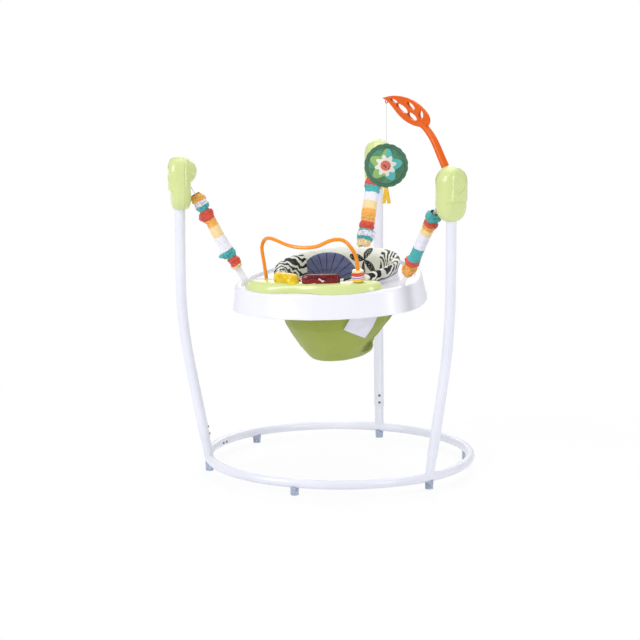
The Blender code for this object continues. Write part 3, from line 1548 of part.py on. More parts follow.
def main():
    clear_scene()
    build_ring()
    build_feet()
    build_legs_and_screws()
    build_housings()
    build_pins()
    build_straps()
    build_springs_and_sleeves()
    tray_frame = empty("tray_frame", tray_matrix())
    seat_frame = empty("seat_frame", seat_matrix())
    build_tray(tray_frame)
    build_seat_ring(seat_frame)
    build_pad(seat_frame)
    build_sling(seat_frame)
    build_label(seat_frame)
    build_console(tray_frame)
    build_board(tray_frame)
    yellow = material("yellow_clear", (0.80, 0.62, 0.01), 0.12, transmission=0.6)
    red = material("red_clear", (0.35, 0.005, 0.01), 0.12, transmission=0.6)
    build_button("yellow_button", YELLOW_AT, YELLOW_HALF, yellow, tray_frame)
    build_button("red_button", RED_AT, RED_HALF, red, tray_frame)
    build_bead_bar(tray_frame)
    build_beads(tray_frame)
    build_toy_arm()
    build_plush()


main()
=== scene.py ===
"""Looks of a baby activity jumper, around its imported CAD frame.

It is laid out as a Blender add-on and run as a script.
"""

import math

import bmesh
import bpy
import numpy as np
from bpy.props import FloatProperty, FloatVectorProperty, IntProperty, PointerProperty
from mathutils import Matrix, Vector, noise


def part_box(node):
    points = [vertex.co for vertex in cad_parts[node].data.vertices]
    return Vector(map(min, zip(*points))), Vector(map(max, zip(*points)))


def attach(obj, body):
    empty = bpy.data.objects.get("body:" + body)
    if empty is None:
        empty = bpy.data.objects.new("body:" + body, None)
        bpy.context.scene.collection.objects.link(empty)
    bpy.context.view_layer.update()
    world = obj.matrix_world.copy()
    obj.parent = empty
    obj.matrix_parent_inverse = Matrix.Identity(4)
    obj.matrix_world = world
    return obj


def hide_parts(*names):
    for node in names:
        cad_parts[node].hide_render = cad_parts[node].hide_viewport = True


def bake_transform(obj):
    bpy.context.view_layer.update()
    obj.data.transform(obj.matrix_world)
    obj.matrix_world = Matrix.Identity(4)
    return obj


bl_info = {
    "name": "Baby activity jumper",
    "version": (1, 0, 0),
    "blender": (4, 5, 0),
    "location": "View3D > Sidebar > Jumper",
    "description": "Builds the cloth, the finishes and the studio of a baby activity jumper",
    "category": "Object",
}

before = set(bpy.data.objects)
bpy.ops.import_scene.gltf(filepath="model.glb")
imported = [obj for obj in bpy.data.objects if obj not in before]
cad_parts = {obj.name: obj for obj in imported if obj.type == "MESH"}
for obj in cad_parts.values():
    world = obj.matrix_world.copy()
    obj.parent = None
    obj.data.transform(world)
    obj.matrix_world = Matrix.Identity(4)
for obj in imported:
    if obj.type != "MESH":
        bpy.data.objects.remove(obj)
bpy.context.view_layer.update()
SIDES = ("left", "right", "back")


def srgb(red, green, blue):
    """A colour as a screen shows it, from 0 to 255, as linear values."""
    shares = (value / 255 for value in (red, green, blue))
    return tuple(share / 12.92 if share <= 0.04045 else ((share + 0.055) / 1.055) ** 2.4 for share in shares)


def shade(colour, factor):
    return tuple(min(value * factor, 1.0) for value in colour)


# Places that the CAD model also has


def frame_of(x_axis, y_axis, z_axis, origin):
    """The matrix of a frame with those axes and that origin."""
    matrix = Matrix((x_axis, y_axis, z_axis)).transposed().to_4x4()
    matrix.translation = origin
    return matrix


RING_CENTRE = Vector((-0.0005, -0.043676, 0.0))
PIN = {
    "left": Vector((-0.367647, -0.256073, 0.812)),
    "right": Vector((0.366962, -0.255522, 0.812)),
    "back": Vector((-0.027649, 0.375095, 0.812)),
}
ANCHOR = {
    "left": Vector((-0.212617, -0.174021, 0.499861)),
    "right": Vector((0.209213, -0.158738, 0.520697)),
    "back": Vector((-0.016495, 0.197893, 0.542565)),
}
HOUSING_TURN = {"left": -152.1093, "right": -31.5302, "back": 93.6019}
LEG_TURN = {"left": 210.0, "right": 330.0, "back": 90.0}
TRAY_UP = (-0.045879, -0.090042, 0.994881)
TRAY_ORIGIN = (-0.007, -0.045676, 0.529)
TRAY = frame_of((0.998129, 0.036163, 0.049301), (-0.040417, 0.995281, 0.088214), TRAY_UP, TRAY_ORIGIN)
SEAT = frame_of((-0.046730, -0.994646, -0.092176), (0.997853, -0.050720, 0.041425), TRAY_UP, TRAY_ORIGIN)
STRING_TOP = Vector((0.157280, -0.126876, 1.0016))
STRING_BOTTOM = Vector((0.157280, -0.126876, 0.8976))
TOY_CENTRE = Vector((0.157280, -0.126876, 0.8391))
TOY_FACING = Vector((0.333807, -0.942641, 0.0))


def hanging(side):
    """A strap's frame: its origin on the pin, its Z down the strap, its Y along the pin."""
    down = (ANCHOR[side] - PIN[side]).normalized()
    turned = math.radians(HOUSING_TURN[side])
    across = Vector((-math.sin(turned), math.cos(turned), 0.0))
    return frame_of(across.cross(down), across, down, PIN[side])


def toy_frame():
    """The soft toy's frame at its middle: Z out of its face, X across it, Y up."""
    up = Vector((0.0, 0.0, 1.0))
    return frame_of(up.cross(TOY_FACING), up, TOY_FACING, TOY_CENTRE)


# Sizes and colours that a user would change


def paint(name, description, default):
    return FloatVectorProperty(
        name=name, description=description, default=default, subtype="COLOR", size=3, min=0.0, max=1.0
    )


def length(name, description, default):
    return FloatProperty(
        name=name, description=description, default=default,
        subtype="DISTANCE", unit="LENGTH", min=0.0, precision=4,
    )


class JumperColours(bpy.types.PropertyGroup):
    """Colours of the plastics and the cloths."""

    tube: paint("Tubes", "Powder coat of the ring and the legs", srgb(232, 233, 243))
    tray: paint("Tray", "White plastic of the tray and the seat ring", srgb(237, 237, 245))
    lime: paint("Lime", "Housings and toy console", srgb(212, 224, 150))
    leaf: paint("Leaf arm", "Arm over the right housing", srgb(228, 96, 0))
    bar: paint("Bead bar", "Wavy bar over the console", srgb(242, 144, 14))
    yellow: paint("Yellow toy", "Clear yellow button", srgb(244, 216, 0))
    red: paint("Red toy", "Clear red button", srgb(128, 0, 4))
    foot: paint("Feet", "Clear rubber feet", srgb(172, 185, 206))
    webbing: paint("Webbing", "Straps and label", srgb(240, 240, 250))
    teal: paint("Teal", "Sleeve cloth, teal band", srgb(70, 178, 178))
    coral: paint("Coral", "Sleeve cloth, red band", srgb(226, 78, 54))
    orange: paint("Orange", "Sleeve cloth, orange band", srgb(250, 180, 82))
    straw: paint("Straw", "Sleeve cloth, pale yellow band", srgb(252, 222, 162))
    sling: paint("Sling", "Cloth of the seat", srgb(160, 172, 72))
    ground: paint("Pad ground", "Ground colour of the pad's print", srgb(238, 238, 226))
    slate: paint("Slate", "Half round on the pad", srgb(112, 117, 163))
    toy: paint("Soft toy", "Ground colour of the soft toy", srgb(70, 128, 96))
    ribbon: paint("Ribbon", "Tails under the soft toy", srgb(252, 204, 60))


class JumperSizes(bpy.types.PropertyGroup):
    """Sizes of the cloth pieces."""

    strap_width: length("Strap width", "Width of the webbing", 0.018)
    strap_thick: length("Strap thickness", "Thickness of the webbing", 0.0016)
    coil_radius: length("Coil radius", "Outside radius of the springs", 0.0108)
    coil_wire: length("Coil wire", "Wire radius of the springs", 0.0011)
    sleeve_radius: length("Sleeve radius", "Radius of a sleeve where it lies smooth", 0.0152)
    sleeve_fold: length("Sleeve folds", "Depth of the sleeves' gathers", 0.0030)
    string_diameter: length("String diameter", "Cord that the soft toy hangs on", 0.0012)
    label_width: length("Label width", "Width of the plain care label", 0.080)
    label_length: length("Label length", "Length of the plain care label", 0.080)
    pad_pressure: FloatProperty(
        name="Pad pressure", description="Filling of the seat pad", default=4.0, min=0.0
    )
    coil_turns: IntProperty(name="Coil turns", description="Turns of each spring", default=54, min=4, max=90)


# Materials


class Wire:
    """A node's output, on which Python's operators add Math nodes."""

    def __init__(self, nodes, socket):
        self.nodes, self.socket = nodes, socket

    def maths(self, operation, *others):
        return self.nodes.node("ShaderNodeMath", {"operation": operation}, dict(enumerate((self, *others))))

    def __add__(self, other):
        return self.maths("ADD", other)

    __radd__ = __add__

    def __sub__(self, other):
        return self.maths("SUBTRACT", other)

    def __rsub__(self, other):
        return (self * -1.0) + other

    def __mul__(self, other):
        return self.maths("MULTIPLY", other)

    __rmul__ = __mul__

    def __truediv__(self, other):
        return self.maths("DIVIDE", other)

    def __gt__(self, other):
        return self.maths("GREATER_THAN", other)

    def __lt__(self, other):
        return self.maths("LESS_THAN", other)

    def __abs__(self):
        return self.maths("ABSOLUTE")

    def sine(self):
        return self.maths("SINE")

    def highest(self, other):
        return self.maths("MAXIMUM", other)

    def ease(self, low, high):
        """0 below low and 1 above high, smooth between them."""
        inputs = {"Value": self, "From Min": low, "From Max": high}
        return self.nodes.node("ShaderNodeMapRange", {"interpolation_type": "SMOOTHSTEP"}, inputs)


def distance(x, y):
    """How far a point is from the origin, from wires of its coordinates."""
    return (x * x + y * y).maths("SQRT")


def set_stops(ramp, stops):
    """Flat bands of colour, each from its start to the next one's."""
    ramp.interpolation = "CONSTANT"
    ramp.elements.remove(ramp.elements[-1])
    for index, (start, colour) in enumerate(stops):
        stop = ramp.elements.new(start) if index else ramp.elements[0]
        stop.position, stop.color = start, (*colour, 1.0)


class Nodes:
    """The node tree of a material or a world, emptied and then built up to its output."""

    def __init__(self, owner, output):
        owner.use_nodes = True
        self.tree = owner.node_tree
        self.tree.nodes.clear()
        self.end = self.tree.nodes.new(output)

    def fill(self, socket, value):
        if isinstance(value, Wire):
            self.tree.links.new(value.socket, socket)
        elif hasattr(value, "__len__") and len(value) == 3 and socket.type == "RGBA":
            socket.default_value = (*value, 1.0)
        else:
            socket.default_value = value

    def node(self, kind, settings=None, inputs=None, output=0):
        """A node of that type, with its settings first and then its sockets' values or links."""
        made = self.tree.nodes.new(kind)
        for name, value in (settings or {}).items():
            if name == "stops":
                set_stops(made.color_ramp, value)
            else:
                setattr(made, name, value)
        for name, value in (inputs or {}).items():
            self.fill(made.inputs[name], value)
        return Wire(self, made.outputs[output])

    def surface(self, shader):
        self.fill(self.end.inputs["Surface"], shader)

    def rays(self, *kinds):
        """1 for a ray of one of those kinds, and 0 for any other."""
        found, *others = (self.node("ShaderNodeLightPath", output=f"Is {kind} Ray") for kind in kinds)
        for other in others:
            found = found.highest(other)
        return found

    def mix(self, share, first, second):
        return self.node("ShaderNodeMixShader", inputs={0: share, 1: first, 2: second})


class Finish(Nodes):
    """One material with a Principled shader."""

    def __init__(self, name, colour, roughness, **fixed):
        self.material = bpy.data.materials.new(name)
        super().__init__(self.material, "ShaderNodeOutputMaterial")
        self.shader = self.node("ShaderNodeBsdfPrincipled")
        self.surface(self.shader)
        self.set("Base Color", colour)
        self.set("Roughness", roughness)
        for socket, value in fixed.items():
            self.set(socket.replace("_", " ").title().replace("Ior", "IOR"), value)

    def set(self, socket, value):
        self.fill(self.shader.socket.node.inputs[socket], value)

    def points(self):
        return self.node("ShaderNodeTexCoord", output="Object")

    def own_uv(self):
        return self.node("ShaderNodeUVMap", {"uv_map": "UVMap"})

    def split(self, vector):
        made = self.node("ShaderNodeSeparateXYZ", inputs={0: vector}).socket.node
        return [Wire(self, socket) for socket in made.outputs]

    def local(self, matrix):
        """X, Y and Z of the surface point in that frame."""
        kind = "ShaderNodeVectorMath"
        away = self.node(kind, {"operation": "SUBTRACT"}, {0: self.points(), 1: tuple(matrix.translation)})
        axes = [tuple(matrix.col[number].xyz) for number in range(3)]
        return [self.node(kind, {"operation": "DOT_PRODUCT"}, {0: away, 1: axis}, "Value") for axis in axes]

    def grain(self, scale, detail=2.0, roughness=0.5, stretch=None):
        """Noise from 0 to 1, with its middle at a half."""
        place = self.points()
        if stretch:
            place = self.node("ShaderNodeMapping", inputs={"Vector": place, "Scale": stretch})
        inputs = {"Vector": place, "Scale": scale, "Detail": detail, "Roughness": roughness}
        return self.node("ShaderNodeTexNoise", inputs=inputs)

    def cells(self, scale, feature="F1", output="Distance"):
        inputs = {"Vector": self.points(), "Scale": scale}
        return self.node("ShaderNodeTexVoronoi", {"feature": feature}, inputs, output)

    def blend(self, share, first, second, kind="MIX"):
        """The first colour where share is 0 and the second where it is 1."""
        settings = {"data_type": "RGBA", "blend_type": kind, "clamp_factor": True}
        return self.node("ShaderNodeMix", settings, {0: share, 6: first, 7: second}, 2)

    def tint(self, share, colour, dark, light):
        """The base colour, times dark where share is 0 and times light where it is 1."""
        self.set("Base Color", self.blend(share, shade(colour, dark), shade(colour, light)))

    def darker_where_low(self, share, colour, dark):
        """The same for a colour that varies: times dark where share is 0, and itself where it is 1."""
        self.set("Base Color", self.blend(share, self.blend(1.0, colour, (dark,) * 3, "MULTIPLY"), colour))

    def bump(self, height, depth, strength=1.0):
        inputs = {"Height": height, "Distance": depth, "Strength": strength}
        self.set("Normal", self.node("ShaderNodeBump", inputs=inputs))


def coated_tube(colour):
    finish = Finish("powder_coat", colour, 0.32, coat_weight=0.25, coat_roughness=0.2)
    peel = finish.grain(850.0)
    finish.tint(finish.grain(9.0, 3.0).ease(0.35, 0.75), colour, 0.975, 1.02)
    finish.set("Roughness", peel * 0.10 + 0.27)
    finish.bump(peel, 0.00012, 0.5)
    return finish.material


def moulded(name, colour, roughness=0.30, grain_size=1500.0, depth=0.00006, coat=0.2, specular=0.5):
    """Moulded plastic: a fine grain, faint flow marks and a slightly softer colour in places."""
    gloss = {"coat_weight": coat, "coat_roughness": 0.12, "specular_ior_level": specular}
    finish = Finish(name, colour, roughness, **gloss)
    flow = finish.grain(7.0, 3.0, stretch=(1.0, 1.0, 0.35))
    fine = finish.grain(grain_size, 1.0)
    finish.tint(flow.ease(0.3, 0.8), colour, 0.97, 1.025)
    finish.set("Roughness", flow * 0.08 + fine * 0.05 + (roughness - 0.06))
    finish.bump(fine + flow * 1.5, depth, 0.6)
    return finish.material


def clear_toy(name, colour, dark, light, scale):
    """Clear coloured plastic, with facets darker at random and a painted highlight colour on some of them."""
    finish = Finish(name, colour, 0.3, coat_weight=0.3, coat_roughness=0.05, specular_ior_level=0.25)
    red, green, _ = finish.split(finish.cells(scale, output="Color"))
    swirl = finish.grain(scale * 0.6, 3.0)
    tone = finish.blend((red + swirl * 0.6).ease(0.35, 1.15), dark, colour)
    # Some facets take the light colour, which is a painted highlight
    finish.set("Base Color", finish.blend((green * swirl).ease(0.50, 0.56), tone, light))
    finish.bump(finish.cells(scale, "DISTANCE_TO_EDGE").ease(0.0, 0.12) + swirl * 0.4, 0.0008, 0.6)
    return finish.material


def rubber_foot(colour):
    finish = Finish("clear_rubber", colour, 0.30, transmission_weight=0.25, coat_weight=0.4, ior=1.5)
    haze = finish.grain(220.0, 3.0)
    finish.tint(haze.ease(0.3, 0.7), colour, 0.8, 1.35)
    finish.bump(haze, 0.0002, 0.5)
    return finish.material


def metal(name, colour, roughness):
    finish = Finish(name, colour, roughness, metallic=1.0)
    scratch = finish.grain(600.0, 4.0, stretch=(1.0, 1.0, 8.0))
    finish.set("Roughness", scratch * 0.25 + (roughness - 0.1))
    finish.bump(scratch, 0.00004, 0.5)
    return finish.material


def threads(across, along, pitch):
    """Height of a plain weave with that pitch, from 0 to 1."""
    turn = math.tau / pitch
    return ((across * turn).sine() * (along * turn).sine() + 1.0) * 0.5


def fine_weave(finish, pitch):
    x, y, z = finish.split(finish.points())
    return threads(x + y, z + y * 0.5, pitch)


def creases(finish, scale):
    return finish.grain(scale, 4.0, 0.55)


def webbing(colour):
    """Woven tape with ribs across it. Its UV is in metres."""
    finish = Finish("webbing", colour, 0.8, sheen_weight=0.25, sheen_roughness=0.5)
    across, along, _ = finish.split(finish.own_uv())
    weave = threads(across, along, 0.0019)
    fibre = finish.grain(900.0)
    # Painted shade between the ribs of the weave, mixed with a random tone in the fibres
    finish.tint(weave * 0.7 + fibre * 0.3, colour, 0.98, 1.05)
    finish.bump(weave + fibre * 0.3, 0.0003, 0.8)
    return finish.material


def sleeve_cloth(side, colours):
    """Satin cloth in bands along a sleeve, with painted shade in its folds. UV runs once round it and once
    along it.
    """
    lie = SLEEVES[side]
    finish = Finish(f"sleeve_cloth_{side}", (0.8, 0.8, 0.8), 0.55, sheen_weight=0.35, sheen_roughness=0.4)
    around, along, _ = finish.split(finish.own_uv())
    place = along + (finish.grain(70.0) - 0.5) * 0.022 + (around * math.tau).sine() * 0.006
    stops = [(start, getattr(colours, name)) for start, name in zip(lie["bands"], lie["colours"])]
    colour = finish.node("ShaderNodeValToRGB", {"stops": stops}, {0: place})
    crease = finish.grain(150.0, 4.0, 0.6, stretch=(1.0, 1.0, 1.6))
    low, high = lie["smooth"]
    flat = along.ease(low - 0.05, low + 0.03) * (1.0 - along.ease(high - 0.03, high + 0.05))
    # Painted shade in the folds: the creases' hollows darken, much more where the sleeve is gathered than
    # where it lies smooth
    depth = finish.blend(flat, (0.52, 0.50, 0.54), (0.90, 0.89, 0.92))
    folds = finish.blend(crease.ease(0.34, 0.56), depth, (1.0, 1.0, 1.0))
    finish.set("Base Color", finish.blend(1.0, colour, folds, "MULTIPLY"))
    finish.set("Roughness", crease * 0.2 + 0.42)
    finish.bump(crease + fine_weave(finish, 0.0011) * 0.12, 0.0016, 0.7)
    return finish.material


def sling_cloth(colour):
    finish = Finish("sling_cloth", colour, 0.85, sheen_weight=0.3, sheen_roughness=0.5)
    weave, crease = fine_weave(finish, 0.0014), creases(finish, 24.0)
    tone = finish.grain(4.0)
    # Painted shade in the hollows of the weave and the creases, mixed with a random tone
    finish.tint((weave * 0.45 + crease * 0.35 + tone * 0.2).ease(0.2, 0.75), colour, 0.86, 1.06)
    finish.bump(weave * 0.25 + crease, 0.0012, 0.45)
    return finish.material


def pad_print(colours):
    """Printed cotton: dots on a cream ground, stripes at both sides, a fan of rays and a plain leaf motif."""
    finish = Finish("pad_print", colours.ground, 0.85, sheen_weight=0.3, sheen_roughness=0.5)
    x, y, z = finish.local(SEAT)
    across = y.maths("ARCTAN2", x * -1.0) * PAD_MIDDLE_R
    up = z + (distance(x, y) - 0.150) * 0.9
    bend = finish.grain(20.0)
    fine = finish.grain(60.0)

    fan_x, fan_y = (across + 0.096) / 1.15, up + 0.060
    fan = distance(fan_x, fan_y) < 0.089
    rays = (fan_x.maths("ARCTAN2", fan_y) * 22.0).sine() > 0.90
    fan_colour = finish.blend(rays, colours.slate, shade(colours.slate, 0.30))

    stripe = ((across * 0.55 + up * 0.9 + (bend - 0.5) * 0.075) * (math.tau / 0.0195)).sine()
    edge = across + (bend - 0.5) * 0.03
    side = (edge < -0.160).highest(edge > 0.094)
    zebra = (stripe + (fine - 0.5) * 0.6 > 0.0) * side

    leaf_x, leaf_y = across - 0.030, up - 0.002
    petals = (leaf_x.maths("ARCTAN2", leaf_y) * 3.5).sine() * 0.024 + 0.025
    motif = (distance(leaf_x, leaf_y) < petals) * (1.0 - (finish.cells(300.0) < 0.26))

    dots = (finish.cells(95.0) < 0.13) * (fine > 0.50)
    colour = finish.blend(dots * 0.55, colours.ground, srgb(170, 176, 120))
    colour = finish.blend(fan * (1.0 - side), colour, fan_colour)
    colour = finish.blend(motif.highest(zebra), colour, srgb(12, 12, 14))
    weave, crease = fine_weave(finish, 0.0012), creases(finish, 40.0)
    # Painted shade between the threads of the weave
    finish.darker_where_low(weave * 0.5 + 0.5, colour, 0.90)
    finish.bump(weave * 0.2 + crease, 0.0010, 0.45)
    return finish.material


def toy_print(colours):
    """Printed plush with a plain flower: cream petals, a dotted coral middle, turquoise and green leaves."""
    green = colours.toy
    finish = Finish("toy_print", green, 0.9, sheen_weight=0.5, sheen_roughness=0.5)
    x, y, z = finish.local(toy_frame())
    x = x + (finish.grain(160.0, 3.0) - 0.5) * 0.0016
    flower_x, flower_y = x + 0.002, y - 0.001
    spread, away = flower_y.maths("ARCTAN2", flower_x), distance(flower_x, flower_y)

    def rosette(petals, reach, depth, phase=0.0):
        return away < ((spread * petals + phase).sine() * depth + reach)

    middle = away < 0.0135
    leaves = finish.blend(x.ease(-0.002, 0.002), srgb(150, 190, 110), srgb(92, 196, 196))
    layers = (
        (rosette(5, 0.036, 0.008, 0.7), leaves),
        (rosette(8, 0.0245, 0.0045), srgb(243, 240, 230)),
        (middle, srgb(224, 116, 96)),
        ((finish.cells(125.0) < 0.30) * middle, srgb(84, 32, 38)),
        (distance(x, y).ease(0.0462, 0.0478), shade(green, 0.62)),
        (z < -0.002, shade(green, 0.85)),
    )
    colour = finish.blend(finish.grain(70.0).ease(0.45, 0.6) * 0.5, green, shade(green, 1.8))
    for share, over in layers:
        colour = finish.blend(share, colour, over)
    pile = finish.grain(700.0)
    finish.darker_where_low(pile, colour, 0.86)
    finish.bump(pile + finish.grain(45.0, 3.0) * 2.0, 0.0009, 0.6)
    return finish.material


def felt(name, colour):
    finish = Finish(name, colour, 0.95, sheen_weight=0.5, sheen_roughness=0.6)
    pile = finish.grain(900.0, 4.0)
    finish.tint(pile, colour, 0.82, 1.12)
    finish.bump(pile, 0.0004, 0.8)
    return finish.material


def satin(name, colour, crease_scale=120.0):
    finish = Finish(name, colour, 0.5, sheen_weight=0.4, sheen_roughness=0.35)
    crease = creases(finish, crease_scale)
    # Painted shade in the creases' hollows
    finish.tint(crease.ease(0.3, 0.7), colour, 0.95, 1.04)
    finish.bump(fine_weave(finish, 0.0008) * 0.3 + crease, 0.0005, 0.4)
    return finish.material


def twisted_string(colour):
    finish = Finish("toy_string", colour, 0.7, sheen_weight=0.3)
    x, y, z = finish.split(finish.points())
    twist = ((z + (x + y) * 1.2) * (math.tau / 0.0022)).sine()
    # Painted shade in the grooves of the twist
    finish.tint(twist * 0.5 + 0.5, colour, 0.75, 1.0)
    finish.bump(twist, 0.0002, 0.7)
    return finish.material


def bead_stripes(colour, line):
    """A white bead with a coloured line round its middle."""
    low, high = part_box("bead_white")
    middle = TRAY.copy()
    middle.translation = (low + high) / 2
    finish = Finish("bead_white", colour, 0.25, coat_weight=0.4, coat_roughness=0.1)
    _, _, z = finish.local(middle)
    finish.set("Base Color", finish.blend(abs(z) < 0.0013, colour, line))
    finish.bump(finish.grain(1300.0, 1.0), 0.00005, 0.5)
    return finish.material


# Shapes


def as_object(name, bm, material):
    """A finished bmesh as an object at the origin."""
    mesh = bpy.data.meshes.new(name)
    bm.to_mesh(mesh)
    bm.free()
    mesh.materials.append(material)
    obj = bpy.data.objects.new(name, mesh)
    bpy.context.scene.collection.objects.link(obj)
    return obj


def new_piece(name, bm, material):
    """The same, with its faces turned outwards and shaded smooth."""
    bmesh.ops.recalc_face_normals(bm, faces=bm.faces)
    obj = as_object(name, bm, material)
    obj.data.shade_smooth()
    return obj


def cloth_grid(columns, rows, place, closed=False, uv=None):
    """A grid whose point at shares u and v goes to place(u, v). Closed joins its first and last column."""
    bm = bmesh.new()
    layer = bm.loops.layers.uv.new("UVMap")
    bmesh.ops.create_grid(bm, x_segments=columns, y_segments=rows, size=0.5, calc_uvs=True)
    if uv:
        for face in bm.faces:
            for loop in face.loops:
                loop[layer].uv = uv(loop.vert.co.x + 0.5, loop.vert.co.y + 0.5)
    for vertex in bm.verts:
        vertex.co = place(vertex.co.x + 0.5, vertex.co.y + 0.5)
    if closed:
        bmesh.ops.remove_doubles(bm, verts=bm.verts, dist=1e-6)
    return bm


def swept_tube(points, radius, sides, closed=False):
    """A round tube along points, extruded ring by ring from a circle."""
    bm = bmesh.new()
    count = len(points)
    ring = bmesh.ops.create_circle(bm, segments=sides, radius=radius, cap_ends=False)["verts"]
    frame, edges = Matrix.Identity(4), list(bm.edges)
    normal = None
    for index, point in enumerate(points):
        ahead = points[(index + 1) % count] if closed else points[min(index + 1, count - 1)]
        behind = points[index - 1] if closed or index else point
        along = (ahead - behind).normalized()
        normal = normal or along.orthogonal()
        normal = (normal - along * normal.dot(along)).normalized()
        target = frame_of(normal, along.cross(normal), along, point)
        if index:
            made = bmesh.ops.extrude_edge_only(bm, edges=edges)["geom"]
            ring = [item for item in made if isinstance(item, bmesh.types.BMVert)]
            edges = [item for item in made if isinstance(item, bmesh.types.BMEdge)]
        bmesh.ops.transform(bm, matrix=target @ frame.inverted(), verts=ring)
        frame = target
    ends = [edge for edge in bm.edges if edge.is_boundary]
    if closed:
        bmesh.ops.bridge_loops(bm, edges=ends)
    else:
        bmesh.ops.holes_fill(bm, edges=ends)
    return bm


def wall(obj, thickness, offset=-1.0):
    modifier = obj.modifiers.new("wall", "SOLIDIFY")
    modifier.thickness, modifier.offset = thickness, offset


def subdivide(obj):
    modifier = obj.modifiers.new("subdivision", "SUBSURF")
    modifier.levels = modifier.render_levels = 1


def smooth_step(value, low, high):
    share = min(max((value - low) / (high - low), 0.0), 1.0)
    return share * share * (3 - 2 * share)


def hump(value, middle, width):
    """1 at the middle, and just over a third of that a width away."""
    return math.exp(-(((value - middle) / width) ** 2))


def round_point(turned, radius, height):
    return Vector((math.cos(turned) * radius, math.sin(turned) * radius, height))


def turn_apart(first, second):
    """The angle between two directions, up to half a turn."""
    return abs((first - second + math.pi) % math.tau - math.pi)


def on_outline(outline, share):
    """The pair of values at a share of the way through an outline's rows."""
    place = share * (len(outline) - 1)
    index = min(int(place), len(outline) - 2)
    part = place - index
    return [first * (1 - part) + second * part for first, second in zip(outline[index], outline[index + 1])]


CLOTH_FRAMES = 20


def swell(source, pressure, cap, voxel, held):
    """Pads a mesh: remeshes it and blows it up as cloth, except where it is held, no further than cap."""
    bpy.ops.object.select_all(action="DESELECT")
    source.select_set(True)
    bpy.context.view_layer.objects.active = source
    source.data.remesh_voxel_size = voxel
    bpy.ops.object.voxel_remesh()
    source.data.shade_smooth()
    vertices = source.data.vertices
    rest = np.empty(len(vertices) * 3, np.float32)
    vertices.foreach_get("co", rest)
    cloth = source.modifiers.new("cloth", "CLOTH")
    settings = cloth.settings
    settings.quality = 5
    settings.use_pressure = True
    settings.uniform_pressure_force = pressure
    settings.effector_weights.gravity = 0.0
    settings.tension_stiffness = settings.compression_stiffness = 12.0
    settings.bending_stiffness = 0.4
    group = source.vertex_groups.new(name="held")
    group.add([vertex.index for vertex in vertices if held(vertex.co)], 1.0, "REPLACE")
    settings.vertex_group_mass = "held"
    cloth.point_cache.frame_start, cloth.point_cache.frame_end = 1, CLOTH_FRAMES
    scene = bpy.context.scene
    for number in range(1, CLOTH_FRAMES + 1):
        scene.frame_set(number)
    moved = np.empty_like(rest)
    source.evaluated_get(bpy.context.evaluated_depsgraph_get()).data.vertices.foreach_get("co", moved)
    source.modifiers.remove(cloth)
    scene.frame_set(1)
    step = (moved - rest).reshape(-1, 3)
    step *= np.minimum(1.0, cap / np.maximum(np.linalg.norm(step, axis=1)[:, None], 1e-9))
    vertices.foreach_set("co", (rest.reshape(-1, 3) + step).ravel())
    source.vertex_groups.clear()


def dress(piece, body=None, node=None):
    """Hides the CAD node that a piece replaces and attaches the piece to the body that it rides on."""
    if node:
        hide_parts(node)
    if body:
        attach(piece, body)


def stretch_with(piece):
    """Bakes the piece's placement into its mesh, which leaves the object at the origin."""
    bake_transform(piece)


# Cord, straps, springs and sleeves

CORD_STEPS = 16


def build_string(sizes, material):
    """The thin cord from the hook to the soft toy, as a curve of one spline."""
    curve = bpy.data.curves.new("toy_cord", "CURVE")
    curve.dimensions = "3D"
    curve.bevel_depth = sizes.string_diameter / 2
    curve.bevel_resolution = 2
    curve.use_fill_caps = True
    spline = curve.splines.new("POLY")
    spline.points.add(CORD_STEPS)
    for index, point in enumerate(spline.points):
        point.co = (*STRING_TOP.lerp(STRING_BOTTOM, index / CORD_STEPS), 1.0)
    curve.materials.append(material)
    cord = bpy.data.objects.new("toy_cord", curve)
    bpy.context.scene.collection.objects.link(cord)
    dress(cord, "hanging_toy", "toy_string")


# A strap's lengths run down it from the middle of its pin, and it turns edge-on between STRAP_TURNS
STRAP_START = 0.0042
STRAP_PAST_ANCHOR = 0.0068
STRAP_TURNS = (0.085, 0.200)
STRAP_STEPS = 36
EYE_R = 0.0054
# How far past half a turn the eye goes at both its ends, in radians, so that they overlap
EYE_REACH = 2.1
EYE_STEPS = 25
EYE_LENGTH = 0.04
TOGGLE_R = 0.0034
TOGGLE_HALF = 0.016
TOGGLE_STEPS = 8


